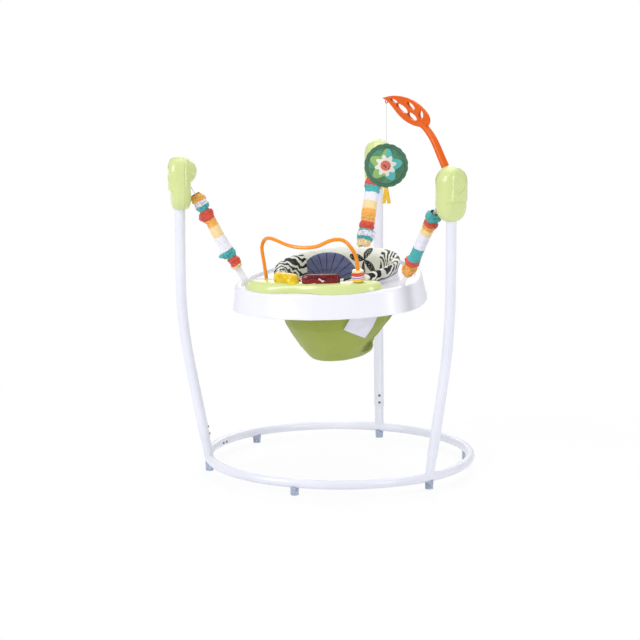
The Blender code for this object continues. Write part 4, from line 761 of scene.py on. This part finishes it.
def build_strap(side, sizes, material):
    """Webbing sewn round the pin, edge-on inside its spring, which ends in a sewn loop round a bar."""
    frame = hanging(side)
    thick, width = sizes.strap_thick, sizes.strap_width
    end = (ANCHOR[side] - PIN[side]).length + STRAP_PAST_ANCHOR

    def place(u, v):
        along = STRAP_START + (end - STRAP_START) * round(v * STRAP_STEPS) / STRAP_STEPS
        spun = math.pi / 2 * smooth_step(along, *STRAP_TURNS)
        row = Matrix.Rotation(-spun, 3, "Z") @ Vector((0.0, (u - 0.5) * width, 0.0))
        return frame @ Vector((row.x, row.y, along))

    def wrap(u, v):
        turned = (math.pi + 2 * EYE_REACH) * round(v * EYE_STEPS) / EYE_STEPS - EYE_REACH
        return frame @ Vector((-math.cos(turned) * EYE_R, (u - 0.5) * width, -math.sin(turned) * EYE_R))

    def flat_uv(total):
        return lambda u, v: ((u - 0.5) * width, v * total)

    tape = new_piece(f"webbing_{side}", cloth_grid(6, STRAP_STEPS, place, uv=flat_uv(end)), material)
    wall(tape, thick, 0.0)
    subdivide(tape)
    eye = new_piece(f"webbing_eye_{side}", cloth_grid(6, EYE_STEPS, wrap, uv=flat_uv(EYE_LENGTH)), material)
    wall(eye, thick, 0.0)
    dress(tape, node=f"strap_{side}")
    dress(eye, "frame")
    stretch_with(tape)

    across = (TRAY.to_3x3() @ round_point(math.radians(LEG_TURN[side]), 1.0, 0.0)).normalized()
    middle = frame @ Vector((0.0, 0.0, end))
    shares = [2 * step / TOGGLE_STEPS - 1 for step in range(TOGGLE_STEPS + 1)]
    line = [middle + across * (TOGGLE_HALF * share) for share in shares]
    toggle = new_piece(f"toggle_{side}", swept_tube(line, TOGGLE_R, 16), material)
    dress(toggle, "tray")


COIL_SPAN = (0.096, 0.282)
COIL_STEPS = 14


def build_coil(side, sizes, material):
    """A closed tension spring: a wire circle spun down the strap."""
    start, end = COIL_SPAN
    steps = sizes.coil_turns * COIL_STEPS
    bm = bmesh.new()
    made = bmesh.ops.create_circle(bm, segments=6, radius=sizes.coil_wire, cap_ends=True)
    first = Matrix.Translation((sizes.coil_radius - sizes.coil_wire, 0.0, start))
    lie = first @ Matrix.Rotation(math.pi / 2, 4, "X")
    bmesh.ops.transform(bm, matrix=lie, verts=made["verts"])
    bmesh.ops.spin(
        bm,
        geom=[*bm.verts, *bm.edges, *bm.faces],
        cent=(0.0, 0.0, 0.0),
        axis=(0.0, 0.0, 1.0),
        dvec=(0.0, 0.0, (end - start) / steps),
        angle=math.tau * sizes.coil_turns,
        steps=steps,
        use_duplicate=False,
    )
    bmesh.ops.transform(bm, matrix=hanging(side), verts=bm.verts)
    coil = new_piece(f"coil_{side}", bm, material)
    dress(coil, node=f"spring_{side}")
    stretch_with(coil)


# How each sleeve lies: where it starts and ends along its strap, where its bands start as shares of that,
# where it bulges or is pinched (place, width, size), where it leans out to a side (place, width, size,
# direction in degrees), how much wider it is along its pin, and between which shares it lies smooth
SLEEVES = {
    "left": {
        "span": (0.064, 0.292),
        "bands": (0.0, 0.09, 0.15, 0.215, 0.34, 0.43, 0.57, 0.76, 0.86, 0.965),
        "colours": (
            "orange", "webbing", "teal", "coral", "orange", "straw", "webbing", "teal", "coral", "straw",
        ),
        "bulges": (
            (0.07, 0.05, 0.0026), (0.16, 0.04, 0.0034), (0.215, 0.014, -0.0040), (0.28, 0.05, 0.0030),
            (0.80, 0.04, 0.0030), (0.86, 0.012, -0.0022), (0.905, 0.03, 0.0016),
        ),
        "leans": ((0.79, 0.04, 0.0125, 190.0), (0.29, 0.05, 0.0055, 200.0), (0.10, 0.06, 0.003, 10.0)),
        "wide": 0.0,
        "smooth": (0.40, 0.74),
    },
    "right": {
        "span": (0.094, 0.300),
        "bands": (0.0, 0.12, 0.19, 0.25, 0.33, 0.55, 0.745, 0.83),
        "colours": ("teal", "coral", "orange", "straw", "webbing", "teal", "coral", "orange"),
        "bulges": (
            (0.06, 0.05, 0.0036), (0.125, 0.012, -0.0034), (0.17, 0.03, 0.0034), (0.24, 0.02, 0.0016),
            (0.78, 0.04, 0.0032), (0.84, 0.012, -0.0020), (0.90, 0.05, 0.0030),
        ),
        "leans": ((0.80, 0.05, 0.004, -60.0), (0.08, 0.05, 0.003, -60.0)),
        "wide": 0.001,
        "smooth": (0.28, 0.76),
    },
    "back": {
        "span": (0.066, 0.292),
        "bands": (0.0, 0.155, 0.25, 0.365, 0.48, 0.66, 0.76, 0.80, 0.87, 0.91),
        "colours": (
            "coral", "teal", "webbing", "straw", "orange", "coral", "teal", "webbing", "teal", "straw",
        ),
        "bulges": ((0.12, 0.06, 0.0024), (0.70, 0.04, 0.0012), (0.75, 0.012, -0.0028), (0.83, 0.05, 0.0042)),
        "leans": ((0.83, 0.05, 0.005, -80.0), (0.12, 0.06, 0.003, 90.0)),
        "wide": 0.0055,
        "smooth": (0.20, 0.56),
    },
}
CUFF_R = 0.0126


def sleeve_radius(side, sizes, share, turned):
    """Radius of a gathered sleeve: tight at its ends, smooth where it lies flat, and puckered elsewhere."""
    lie = SLEEVES[side]
    seed = Vector((SIDES.index(side) * 7.3, 0.0, 0.0))
    ring = round_point(turned, 1.0, 0.0)

    def wave(size, pitch):
        return noise.noise(seed + ring * size + Vector((0.0, 0.0, share * pitch)))

    low, high = lie["smooth"]
    flat = smooth_step(share, low - 0.04, low + 0.03) * (1 - smooth_step(share, high - 0.03, high + 0.04))
    fold = (1.0 - abs(wave(0.45, 22.0)) * 2.0) * 0.9 + wave(1.6, 9.0) * 0.8 + wave(3.5, 34.0) * 0.4 - 0.55
    radius = sizes.sleeve_radius + sizes.sleeve_fold * (1.0 - 0.78 * flat) * fold
    radius += 0.0006 * math.sin(turned * 3 + share * 9) + lie["wide"] * math.sin(turned) ** 2
    for place, width, size in lie["bulges"]:
        radius += size * hump(share, place, width)
    cuff = smooth_step(share, 0.0, 0.045) * (1 - smooth_step(share, 0.955, 1.0))
    return CUFF_R + (radius - CUFF_R) * (0.25 + 0.75 * cuff)


def build_sleeve(side, sizes, material):
    """The gathered cloth tube round a spring, with its elastic cuffs turned in."""
    frame = hanging(side)
    start, end = SLEEVES[side]["span"]

    def place(u, v):
        turned = math.tau * u
        radius = sleeve_radius(side, sizes, v, turned)
        for at, width, size, degrees in SLEEVES[side]["leans"]:
            reach = 0.5 + 0.5 * math.cos(turned - math.radians(degrees))
            radius += size * hump(v, at, width) * reach**2
        return frame @ round_point(turned, radius, start + (end - start) * v)

    sleeve = new_piece(f"sleeve_cloth_{side}", cloth_grid(56, 120, place, closed=True), material)
    wall(sleeve, 0.0009)
    dress(sleeve, node=f"sleeve_{side}")
    stretch_with(sleeve)


# Seat

# The lining's radius and height, row by row
LINING = (
    (0.1440, 0.012), (0.1436, 0.004), (0.1432, -0.012), (0.1432, -0.030), (0.1450, -0.044), (0.1490, -0.058),
)
PAD_TOP = 0.0026
# The roll's radius, foot and share of the pad's height, row by row
PAD_OUTLINE = (
    (0.1440, -0.016, 0.0), (0.1452, PAD_TOP, 0.0), (0.1650, PAD_TOP, 0.0), (0.1700, PAD_TOP, 0.26),
    (0.1702, PAD_TOP, 0.60), (0.1640, PAD_TOP, 0.86), (0.1580, PAD_TOP, 0.94), (0.1510, PAD_TOP, 0.86),
    (0.1460, PAD_TOP, 0.58), (0.1435, PAD_TOP, 0.24), (0.1415, -0.006, 0.0), (0.1412, -0.016, 0.0),
)
PAD_STEPS = 96
PAD_MIDDLE_R = 0.158
PAD_HELD_BELOW = 0.004
PAD_SEWN_ABOVE = 0.006
# Radius, foot and share of the pad's height of the roll's middle line
PAD_CORE = (0.157, 0.004, 0.45)
PAD_SEAMS = (62, 118, 180, 242, 298)
PAD_SEAM_DEPTH = 0.0030
PAD_SEAM_WIDTH = 0.0045
# Where the roll leans out over the tray: direction in degrees, how far, and how wide
PAD_FLARES = ((112.0, 0.0090, 0.85), (290.0, 0.0035, 0.7))


def pad_height(turned):
    """The pad is low at the front of the seat and high behind the child's back."""
    return 0.015 + 0.029 * ((1 - math.cos(turned)) / 2) ** 0.5


def pad_flare(turned):
    """How far the roll leans out over the tray at that angle."""
    humps = ((turn_apart(turned, math.radians(at)), size, width) for at, size, width in PAD_FLARES)
    return sum(size * hump(away, 0.0, width) for away, size, width in humps)


def build_lining(material):
    """The seat's printed lining, which runs from the roll down past the seat ring."""

    def place(u, v):
        turned = math.tau * u
        radius, height = on_outline(LINING, v)
        sag = 0.0016 * noise.noise(round_point(turned, 3.0, height * 22.0))
        radius -= abs(sag) + 0.0008 * hump(v, 0.9, 0.1) * math.sin(turned * 40)
        return SEAT @ round_point(turned, radius, height)

    lining = new_piece("seat_lining", cloth_grid(180, 30, place, closed=True), material)
    wall(lining, 0.0010, 1.0)
    dress(lining, "seat")


def build_pad(sizes, material):
    """The seat's padded ring: a closed roll, blown up as cloth, with sewn channels across it."""
    bm = bmesh.new()
    rows = len(PAD_OUTLINE)
    bmesh.ops.create_grid(bm, x_segments=PAD_STEPS, y_segments=rows, size=0.5)
    for vertex in bm.verts:
        turned = math.tau * (vertex.co.x + 0.5)
        radius, base, share = PAD_OUTLINE[round((vertex.co.y + 0.5) * rows) % rows]
        height = base + share * pad_height(turned)
        if radius > 0.150:
            radius += pad_flare(turned) * smooth_step(height, 0.020, 0.034)
        vertex.co = SEAT @ round_point(turned, radius, height)
    bmesh.ops.remove_doubles(bm, verts=bm.verts, dist=1e-6)
    pad = new_piece("padded_ring", bm, material)
    inverse = SEAT.inverted()

    def held(point):
        return (inverse @ point).z < PAD_HELD_BELOW

    swell(pad, sizes.pad_pressure, cap=0.0045, voxel=0.0045, held=held)
    core_radius, core_low, core_share = PAD_CORE
    for vertex in pad.data.vertices:
        point = inverse @ vertex.co
        if point.z < PAD_SEWN_ABOVE:
            continue
        turned = math.atan2(point.y, point.x) % math.tau
        near = min(turn_apart(turned, math.radians(seam)) for seam in PAD_SEAMS)
        depth = PAD_SEAM_DEPTH * hump(near * PAD_MIDDLE_R, 0.0, PAD_SEAM_WIDTH)
        crease = 0.0012 * noise.noise(Vector((turned * 14.0, point.z * 55.0, 3.1)))
        core = Vector((point.x, point.y, 0.0)).normalized() * core_radius
        core.z = core_low + core_share * pad_height(turned)
        vertex.co = SEAT @ (point - (point - core).normalized() * (depth + crease))
    subdivide(pad)
    dress(pad, "seat", "seat_pad")


# The sling's radius and depth under its hem, row by row
SLING_OUTLINE = (
    (0.1540, 0.0), (0.1560, 0.018), (0.1562, 0.036), (0.1545, 0.062), (0.1495, 0.088), (0.1370, 0.115),
    (0.1180, 0.148), (0.1070, 0.166), (0.0990, 0.1780), (0.0930, 0.1835), (0.0800, 0.1866), (0.0500, 0.1878),
    (0.0000, 0.1880),
)
SLING_TOP = -0.0343
SLING_DEPTH = 0.188
SLING_NARROWING = 0.16
SLING_DRIFT = -0.008
SLING_GRID = (160, 96)
HEM_STEPS = 120
HEM_R = 0.0021
BINDING_R = 0.0030
# A leg hole's direction from the seat's front, the height of its middle, and half its width and height
HOLE_TURN = math.radians(99.0)
HOLE_Z = -0.141
HOLE_HALF = (0.058, 0.071)
HOLE_FLARE = 0.42
HOLE_SQUARENESS = 3.4


def sling_drape(down):
    """How much narrower the tub is from side to side at that depth, and how far it hangs to the side."""
    share = min(max(down / SLING_DEPTH, 0.0), 1.0)
    return 1 - SLING_NARROWING * share**3, SLING_DRIFT * share**2


def sling_point(turned, share):
    """A point of the tub in the seat's frame, at a share of the way from its hem to its bottom's middle."""
    radius, down = on_outline(SLING_OUTLINE, share)
    narrow, drift = sling_drape(down)
    gather = 0.0016 * hump(down, 0.0, 0.022) * math.sin(turned * 46 + 2 * math.sin(turned * 5))
    sag = 0.0030 * noise.noise(round_point(turned, 1.6, down * 14.0))
    radius = max(radius + (gather - abs(sag)) * min(radius / 0.05, 1.0), 0.0)
    return Vector((math.cos(turned) * radius, math.sin(turned) * radius * narrow + drift, SLING_TOP - down))


def hole_frame(sign):
    """A leg hole's frame: X out through the hole, Y across it, Z up."""
    frame = Matrix.Rotation(sign * HOLE_TURN, 4, "Z")
    frame.translation = Vector((0.0, 0.0, HOLE_Z))
    return frame


def reach_in_hole(point):
    """Below 1 inside a leg hole, which is wider at its bottom, for a point in the hole's frame."""
    half_width, half_height = HOLE_HALF
    wide = half_width - HOLE_FLARE * min(max(point.z, -half_height), half_height)
    across, up = abs(point.y / wide), abs(point.z / half_height)
    return (across**HOLE_SQUARENESS + up**HOLE_SQUARENESS) ** (1 / HOLE_SQUARENESS)


def in_leg_hole(point):
    """Whether a point in the seat's frame is inside a leg hole."""
    places = [hole_frame(sign).inverted() @ point for sign in (1, -1)]
    return any(place.x > 0.02 and reach_in_hole(place) < 1.0 for place in places)


def pull_to_rim(vertex):
    """Moves a vertex of a leg hole's ragged rim towards the hole's outline."""
    frame = hole_frame(1 if vertex.co.y > 0 else -1)
    place = frame.inverted() @ vertex.co
    share = max(reach_in_hole(place), 0.2)
    place.y /= share
    place.z /= share
    vertex.co = frame @ place


def on_rim(item, point):
    """Whether an edge or vertex at that point bounds a leg hole, and not the tub's top."""
    return item.is_boundary and point.z < SLING_TOP - 0.02


def rim_loops(bm):
    """The leg holes' rims as closed lists of points, in the same order in every run."""
    edges = [edge for edge in bm.edges if on_rim(edge, edge.verts[0].co)]
    loops = []
    while edges:
        start, vertex = edges.pop().verts
        points = [start.co.copy()]
        while vertex is not start:
            points.append(vertex.co.copy())
            onward = next((item for item in vertex.link_edges if item in edges), None)
            if onward is None:
                break
            edges.remove(onward)
            vertex = onward.other_vert(vertex)
        if len(points) > 20:
            loops.append(points)
    return loops


def smoothed_loop(points):
    """A closed loop smoothed three times, with every other point left out."""
    for _ in range(3):
        count = len(points)
        points = [(points[i - 1] + points[i] * 2 + points[(i + 1) % count]) / 4 for i in range(count)]
    return points[::2]


def build_sling(material, trim):
    """The cloth tub with two leg holes, bound with tape, and a hem."""
    bm = cloth_grid(*SLING_GRID, lambda u, v: sling_point(math.tau * u, v), closed=True)
    holes = [face for face in bm.faces if in_leg_hole(face.calc_center_median())]
    bmesh.ops.delete(bm, geom=holes, context="FACES")
    for vertex in bm.verts:
        if on_rim(vertex, vertex.co):
            for _ in range(3):
                pull_to_rim(vertex)
    loops = rim_loops(bm)
    bmesh.ops.transform(bm, matrix=SEAT, verts=bm.verts)
    sling = new_piece("cloth_seat", bm, material)
    wall(sling, 0.0016, 1.0)
    dress(sling, "seat", "seat_sling")

    lines = {f"leg_binding_{number}": smoothed_loop(points) for number, points in enumerate(loops, 1)}
    lines["seat_hem"] = [sling_point(math.tau * step / HEM_STEPS, 0.004) for step in range(HEM_STEPS)]
    for name, line in lines.items():
        radius = HEM_R if name == "seat_hem" else BINDING_R
        tape = new_piece(name, swept_tube([SEAT @ point for point in line], radius, 8, closed=True), trim)
        dress(tape, "seat")


LABEL_SKEW = math.radians(27.0)
LABEL_TURN = math.radians(52.0)
LABEL_TOP = -0.046


def build_label(sizes, material):
    """A bare satin care label sewn under the hem, lying skewed on the sling."""
    width, height = sizes.label_width, sizes.label_length
    top = LABEL_TOP - width / 2 * math.sin(LABEL_SKEW)

    def place(u, v):
        across, down = (u - 0.5) * width, v * height
        x = across * math.cos(LABEL_SKEW) - down * math.sin(LABEL_SKEW)
        z = top - down * math.cos(LABEL_SKEW) - across * math.sin(LABEL_SKEW)
        narrow, drift = sling_drape(SLING_TOP - z)
        radius = sling_radius(SLING_TOP - z) + 0.0030 + 0.0018 * v + 0.0012 * math.sin(u * 5.0 + v * 3.0)
        point = round_point(LABEL_TURN + x / radius, radius, z)
        point.y = point.y * narrow + drift
        return SEAT @ point

    label = new_piece("satin_label", cloth_grid(28, 34, place), material)
    wall(label, 0.0006, 0.0)
    dress(label, "seat", "care_label")


def sling_radius(down):
    """The tub's radius at that depth under its hem."""
    for (r0, d0), (r1, d1) in zip(SLING_OUTLINE, SLING_OUTLINE[1:]):
        if d0 <= down <= d1:
            return r0 + (r1 - r0) * (down - d0) / (d1 - d0)
    return SLING_OUTLINE[0][0]


# Soft toy

DISC_R = 0.0490
DISC_HALF_THICK = 0.0125
DISC_HELD_R = 0.0475
DISC_PRESSURE = 5.0
FELT_INNER_R = 0.0440
FELT_OUTER_R = 0.0575
SCALLOPS = 9
SEAM_R = 0.0487
SEAM_STEPS = 120
THREAD_R = 0.0012
RIBBON_WIDTH = 0.010
RIBBON_DROP = 0.043
RIBBON_TOP = -FELT_OUTER_R - 0.0008
# The lean of the back tail and of the front one
RIBBON_LEANS = {-1: math.radians(-8.0), 1: math.radians(11.0)}


def felt_wave(spread):
    """How far the felt stands out of the toy's middle plane at that angle."""
    return 0.0009 * math.sin(spread * SCALLOPS + 0.6)


def build_toy(print_cloth, edge_felt, thread):
    """The soft toy: a stuffed disc with a printed flower, a scalloped felt edge and a sewn seam."""
    frame = toy_frame()
    bm = bmesh.new()
    bmesh.ops.create_uvsphere(bm, u_segments=64, v_segments=28, radius=1.0)
    for vertex in bm.verts:
        thick = max(1 - math.hypot(vertex.co.x, vertex.co.y) ** 2.6, 0.0) ** 0.75
        side = 1 if vertex.co.z >= 0 else -1
        vertex.co = Vector((vertex.co.x * DISC_R, vertex.co.y * DISC_R, side * DISC_HALF_THICK * thick))
    bmesh.ops.remove_doubles(bm, verts=bm.verts, dist=1e-5)
    bmesh.ops.transform(bm, matrix=frame, verts=bm.verts)
    body = new_piece("stuffed_disc", bm, print_cloth)
    inverse = frame.inverted()

    def held(point):
        return (inverse @ point).xy.length > DISC_HELD_R

    swell(body, DISC_PRESSURE, cap=0.0040, voxel=0.0026, held=held)
    for vertex in body.data.vertices:
        point = inverse @ vertex.co
        spread = math.atan2(point.y, point.x)
        rim = smooth_step(point.xy.length, 0.030, DISC_R)
        pucker = 0.0009 * rim * math.sin(spread * 38 + 1.7 * math.sin(spread * 7))
        point.z += math.copysign(pucker, point.z)
        vertex.co = frame @ point
    subdivide(body)
    dress(body, "hanging_toy", "plush_toy")

    def edge(u, v):
        spread = math.tau * u
        scallop = 0.0017 * (abs(math.cos(SCALLOPS * (spread - math.pi / 2))) ** 0.7 - 0.6) * v * v
        radius = FELT_INNER_R + (FELT_OUTER_R - FELT_INNER_R) * v + scallop
        return frame @ round_point(spread, radius, felt_wave(spread) * v)

    felt_edge = new_piece("felt_edge", cloth_grid(288, 6, edge, closed=True), edge_felt)
    wall(felt_edge, 0.0018, 0.0)
    dress(felt_edge, "hanging_toy")

    spreads = [math.tau * step / SEAM_STEPS for step in range(SEAM_STEPS)]
    line = [frame @ round_point(spread, SEAM_R, felt_wave(spread)) for spread in spreads]
    seam = new_piece("toy_seam", swept_tube(line, THREAD_R, 6, closed=True), thread)
    dress(seam, "hanging_toy")


def build_ribbon(material):
    """One ribbon folded in two, whose ends hang below the soft toy as two tails."""
    frame = toy_frame()

    def place(u, v):
        side = 1 if v > 0.5 else -1
        lean = RIBBON_LEANS[side]
        down, across = abs(v - 0.5) * 2 * RIBBON_DROP, (u - 0.5) * RIBBON_WIDTH
        flutter = 0.0016 * math.sin(down * 160 + side) * smooth_step(down, 0.006, 0.03)
        x = across * math.cos(lean) + down * math.sin(lean)
        y = RIBBON_TOP - down * math.cos(lean) + across * math.sin(lean) * side
        return frame @ Vector((x, y, side * (0.0010 * smooth_step(down, 0.0, 0.008) + 0.0006) + flutter))

    ribbon = new_piece("satin_ribbon", cloth_grid(6, 64, place), material)
    wall(ribbon, 0.0005, 0.0)
    dress(ribbon, "hanging_toy", "ribbon")


# Finishes of the CAD nodes

NODE_EDGE = 38.0
HOUSING_EDGE = 50.0


def smooth_node(obj, degrees):
    """Smooth shading that keeps a CAD node's edges, by modifiers alone."""
    mesh = obj.data
    if "custom_normal" in mesh.attributes:
        mesh.attributes.remove(mesh.attributes["custom_normal"])
    mesh.shade_smooth()
    weld = obj.modifiers.new("weld", "WELD")
    weld.merge_threshold = 0.00002
    split = obj.modifiers.new("edges", "EDGE_SPLIT")
    split.split_angle = math.radians(degrees)


def finish_nodes(colours):
    """Gives every CAD node that shows its material, by how its name starts."""
    tube = coated_tube(colours.tube)
    tray = moulded("tray_plastic", colours.tray, 0.32)
    lime = moulded("lime_plastic", colours.lime, 0.24, coat=0.4)
    steel = metal("screw_steel", srgb(120, 120, 124), 0.35)
    leaf = moulded(
        "leaf_plastic", colours.leaf, 0.34, grain_size=400.0, depth=0.00025, coat=0.12, specular=0.25
    )
    # The last colour of each clear toy is the painted highlight on its facets
    yellow = clear_toy("yellow_clear", colours.yellow, srgb(222, 178, 4), srgb(255, 250, 170), 90.0)
    red = clear_toy("red_clear", colours.red, srgb(84, 0, 4), srgb(236, 196, 200), 80.0)
    finishes = {
        "base_ring": tube,
        "leg": tube,
        "leg_screw": steel,
        "ring_screw": steel,
        "hanger_pin": steel,
        "housing": lime,
        "console_top": lime,
        "tray": tray,
        "seat_ring": tray,
        "console_base": tray,
        "foot": rubber_foot(colours.foot),
        "circuit_board": moulded("board", srgb(40, 110, 70), 0.5),
        "yellow_button": yellow,
        "red_button": red,
        "bead_bar": moulded("bar_plastic", colours.bar, 0.28, coat=0.25, specular=0.3),
        "bead_base_yellow": moulded("yellow_bead", srgb(246, 204, 66), 0.25, coat=0.4),
        "bead_cream": moulded("cream_bead", srgb(252, 226, 160), 0.25, coat=0.4),
        "bead_red": moulded("red_bead", srgb(216, 62, 48), 0.25, coat=0.4),
        "bead_white": bead_stripes(srgb(238, 238, 244), srgb(150, 92, 168)),
        "toy_arm": leaf,
    }
    for name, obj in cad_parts.items():
        if obj.hide_render:
            continue
        key = max((item for item in finishes if name.startswith(item)), key=len)
        obj.data.materials.clear()
        obj.data.materials.append(finishes[key])
        smooth_node(obj, HOUSING_EDGE if key == "housing" else NODE_EDGE)


# Studio

CAMERA_TURN = math.radians(19.34)
CAMERA_RISE = math.radians(9.82)
CAMERA_DISTANCE = 6.11
CAMERA_SHIFT = 0.0531
TARGET_HEIGHT = 0.4034
SENSOR_WIDTH = 36.0
FOCAL_PIXELS = 2241.6
PHOTO_PIXELS = 640
# Place, width and height, and power of each lamp
LAMPS = {
    "key": ((-2.6, -3.2, 2.6), (1.0, 2.6), 84.0),
    "fill": ((3.4, -2.2, 1.6), (0.7, 2.6), 40.0),
    "top": ((0.2, 0.6, 3.6), (3.0, 3.0), 42.0),
    "rim": ((-1.0, 3.4, 2.4), (2.4, 2.0), 30.0),
}
LAMP_TARGET = (0.0, 0.0, 0.45)
FLOOR_FACES = 8
FLOOR_HALF = 9.0
FLOOR_Z = -0.0005


def put(name, data, place, target):
    """A lamp or camera at a place, turned to its target."""
    obj = bpy.data.objects.new(name, data)
    obj.location = place
    obj.rotation_mode = "QUATERNION"
    obj.rotation_quaternion = (Vector(target) - obj.location).to_track_quat("-Z", "Y")
    bpy.context.scene.collection.objects.link(obj)
    return obj


def build_camera():
    right = round_point(CAMERA_TURN, 1.0, 0.0)
    back = round_point(CAMERA_TURN - math.pi / 2, math.cos(CAMERA_RISE), math.sin(CAMERA_RISE))
    target = Vector((RING_CENTRE.x, RING_CENTRE.y, TARGET_HEIGHT)) - right * CAMERA_SHIFT
    data = bpy.data.cameras.new("camera")
    data.sensor_width, data.lens = SENSOR_WIDTH, FOCAL_PIXELS / PHOTO_PIXELS * SENSOR_WIDTH
    data.clip_start, data.clip_end = 0.05, 60.0
    bpy.context.scene.camera = put("camera", data, target + back * CAMERA_DISTANCE, target)


def build_lamps():
    for name, (place, (width, height), power) in LAMPS.items():
        data = bpy.data.lights.new(name, "AREA")
        data.shape, data.size, data.size_y, data.energy = "RECTANGLE", width, height, power
        put(name, data, place, LAMP_TARGET)


def build_floor():
    """A pale floor that the camera sees as white, with the object's shadow kept."""
    finish = Finish("floor_paper", (0.90, 0.90, 0.91), 0.45)
    glow = finish.node("ShaderNodeEmission", inputs={"Color": (1.0, 1.0, 1.0)})
    x, y, _ = finish.split(finish.points())
    seen = finish.rays("Camera", "Glossy", "Transmission") * (distance(x, y).ease(0.5, 1.5) * 0.12 + 0.88)
    finish.surface(finish.mix(seen, finish.shader, glow))
    bm = bmesh.new()
    lie = Matrix.Translation((0.0, 0.0, FLOOR_Z))
    bmesh.ops.create_grid(bm, x_segments=FLOOR_FACES, y_segments=FLOOR_FACES, size=FLOOR_HALF, matrix=lie)
    as_object("floor", bm, finish.material)


def build_world():
    """Soft bluish light from all sides, which the camera sees as white."""
    world = bpy.data.worlds.new("studio")
    nodes = Nodes(world, "ShaderNodeOutputWorld")
    fill = nodes.node("ShaderNodeBackground", inputs={"Color": (0.97, 0.98, 1.0), "Strength": 0.56})
    white = nodes.node("ShaderNodeBackground", inputs={"Color": (1.0, 1.0, 1.0), "Strength": 1.0})
    nodes.surface(nodes.mix(nodes.rays("Camera", "Transmission"), fill, white))
    bpy.context.scene.world = world


# Operators


class JumperOperator:
    """What the steps of the build share: undo, and the scene's sizes and colours."""

    bl_options = {"REGISTER", "UNDO"}

    @property
    def sizes(self):
        return bpy.context.scene.jumper_sizes

    @property
    def colours(self):
        return bpy.context.scene.jumper_colours


class JUMPER_OT_stage(JumperOperator, bpy.types.Operator):
    """Set up the studio: floor, world, lamps and camera"""

    bl_idname = "jumper.stage"
    bl_label = "Studio"

    def execute(self, context):
        context.scene.view_settings.view_transform = "Standard"
        build_camera()
        build_floor()
        build_world()
        build_lamps()
        return {"FINISHED"}


class JUMPER_OT_string(JumperOperator, bpy.types.Operator):
    """Hang the soft toy's cord"""

    bl_idname = "jumper.string"
    bl_label = "Toy cord"

    def execute(self, context):
        build_string(self.sizes, twisted_string(srgb(236, 236, 240)))
        return {"FINISHED"}


class JUMPER_OT_straps(JumperOperator, bpy.types.Operator):
    """Make the three webbing straps with their eyes and toggles"""

    bl_idname = "jumper.straps"
    bl_label = "Straps"

    def execute(self, context):
        tape = webbing(self.colours.webbing)
        for side in SIDES:
            build_strap(side, self.sizes, tape)
        return {"FINISHED"}


class JUMPER_OT_springs(JumperOperator, bpy.types.Operator):
    """Wind the three springs"""

    bl_idname = "jumper.springs"
    bl_label = "Springs"

    def execute(self, context):
        steel = metal("spring_wire", srgb(190, 190, 194), 0.3)
        for side in SIDES:
            build_coil(side, self.sizes, steel)
        return {"FINISHED"}


class JUMPER_OT_sleeves(JumperOperator, bpy.types.Operator):
    """Make the gathered, striped sleeves round the springs"""

    bl_idname = "jumper.sleeves"
    bl_label = "Sleeves"

    def execute(self, context):
        for side in SIDES:
            build_sleeve(side, self.sizes, sleeve_cloth(side, self.colours))
        return {"FINISHED"}


class JUMPER_OT_seat(JumperOperator, bpy.types.Operator):
    """Make the seat's padded ring, its lining, its cloth tub and its bare care label"""

    bl_idname = "jumper.seat"
    bl_label = "Seat"

    def execute(self, context):
        print_cloth = pad_print(self.colours)
        build_pad(self.sizes, print_cloth)
        build_lining(print_cloth)
        build_sling(sling_cloth(self.colours.sling), felt("binding_tape", shade(self.colours.sling, 0.85)))
        build_label(self.sizes, satin("label_satin", shade(self.colours.webbing, 0.90), 40.0))
        return {"FINISHED"}


class JUMPER_OT_toy(JumperOperator, bpy.types.Operator):
    """Make the hanging soft toy and its ribbon"""

    bl_idname = "jumper.toy"
    bl_label = "Soft toy"

    def execute(self, context):
        green = self.colours.toy
        edge, thread = felt("felt_green", shade(green, 0.8)), felt("thread", shade(green, 0.5))
        build_toy(toy_print(self.colours), edge, thread)
        build_ribbon(satin("ribbon_satin", self.colours.ribbon))
        return {"FINISHED"}


class JUMPER_OT_finishes(JumperOperator, bpy.types.Operator):
    """Give the frame, the tray and the toys their materials"""

    bl_idname = "jumper.finishes"
    bl_label = "Finishes"

    def execute(self, context):
        finish_nodes(self.colours)
        return {"FINISHED"}


class JUMPER_PT_panel(bpy.types.Panel):
    """The steps that build the jumper, and its sizes and colours"""

    bl_idname = "JUMPER_PT_panel"
    bl_label = "Baby activity jumper"
    bl_space_type = "VIEW_3D"
    bl_region_type = "UI"
    bl_category = "Jumper"

    def draw(self, context):
        for operator in OPERATORS:
            self.layout.operator(operator.bl_idname)
        for group in (context.scene.jumper_sizes, context.scene.jumper_colours):
            column = self.layout.column()
            for name in group.bl_rna.properties.keys():
                if name not in ("rna_type", "name"):
                    column.prop(group, name)


OPERATORS = (
    JUMPER_OT_stage,
    JUMPER_OT_string,
    JUMPER_OT_straps,
    JUMPER_OT_springs,
    JUMPER_OT_sleeves,
    JUMPER_OT_seat,
    JUMPER_OT_toy,
    JUMPER_OT_finishes,
)
CLASSES = (JumperColours, JumperSizes, *OPERATORS, JUMPER_PT_panel)


def register():
    for item in CLASSES:
        bpy.utils.register_class(item)
    bpy.types.Scene.jumper_colours = PointerProperty(type=JumperColours)
    bpy.types.Scene.jumper_sizes = PointerProperty(type=JumperSizes)


def unregister():
    del bpy.types.Scene.jumper_sizes
    del bpy.types.Scene.jumper_colours
    for item in reversed(CLASSES):
        bpy.utils.unregister_class(item)


def main():
    register()
    for operator in OPERATORS:
        group, name = operator.bl_idname.split(".")
        getattr(getattr(bpy.ops, group), name)()


if __name__ == "__main__":
    main()
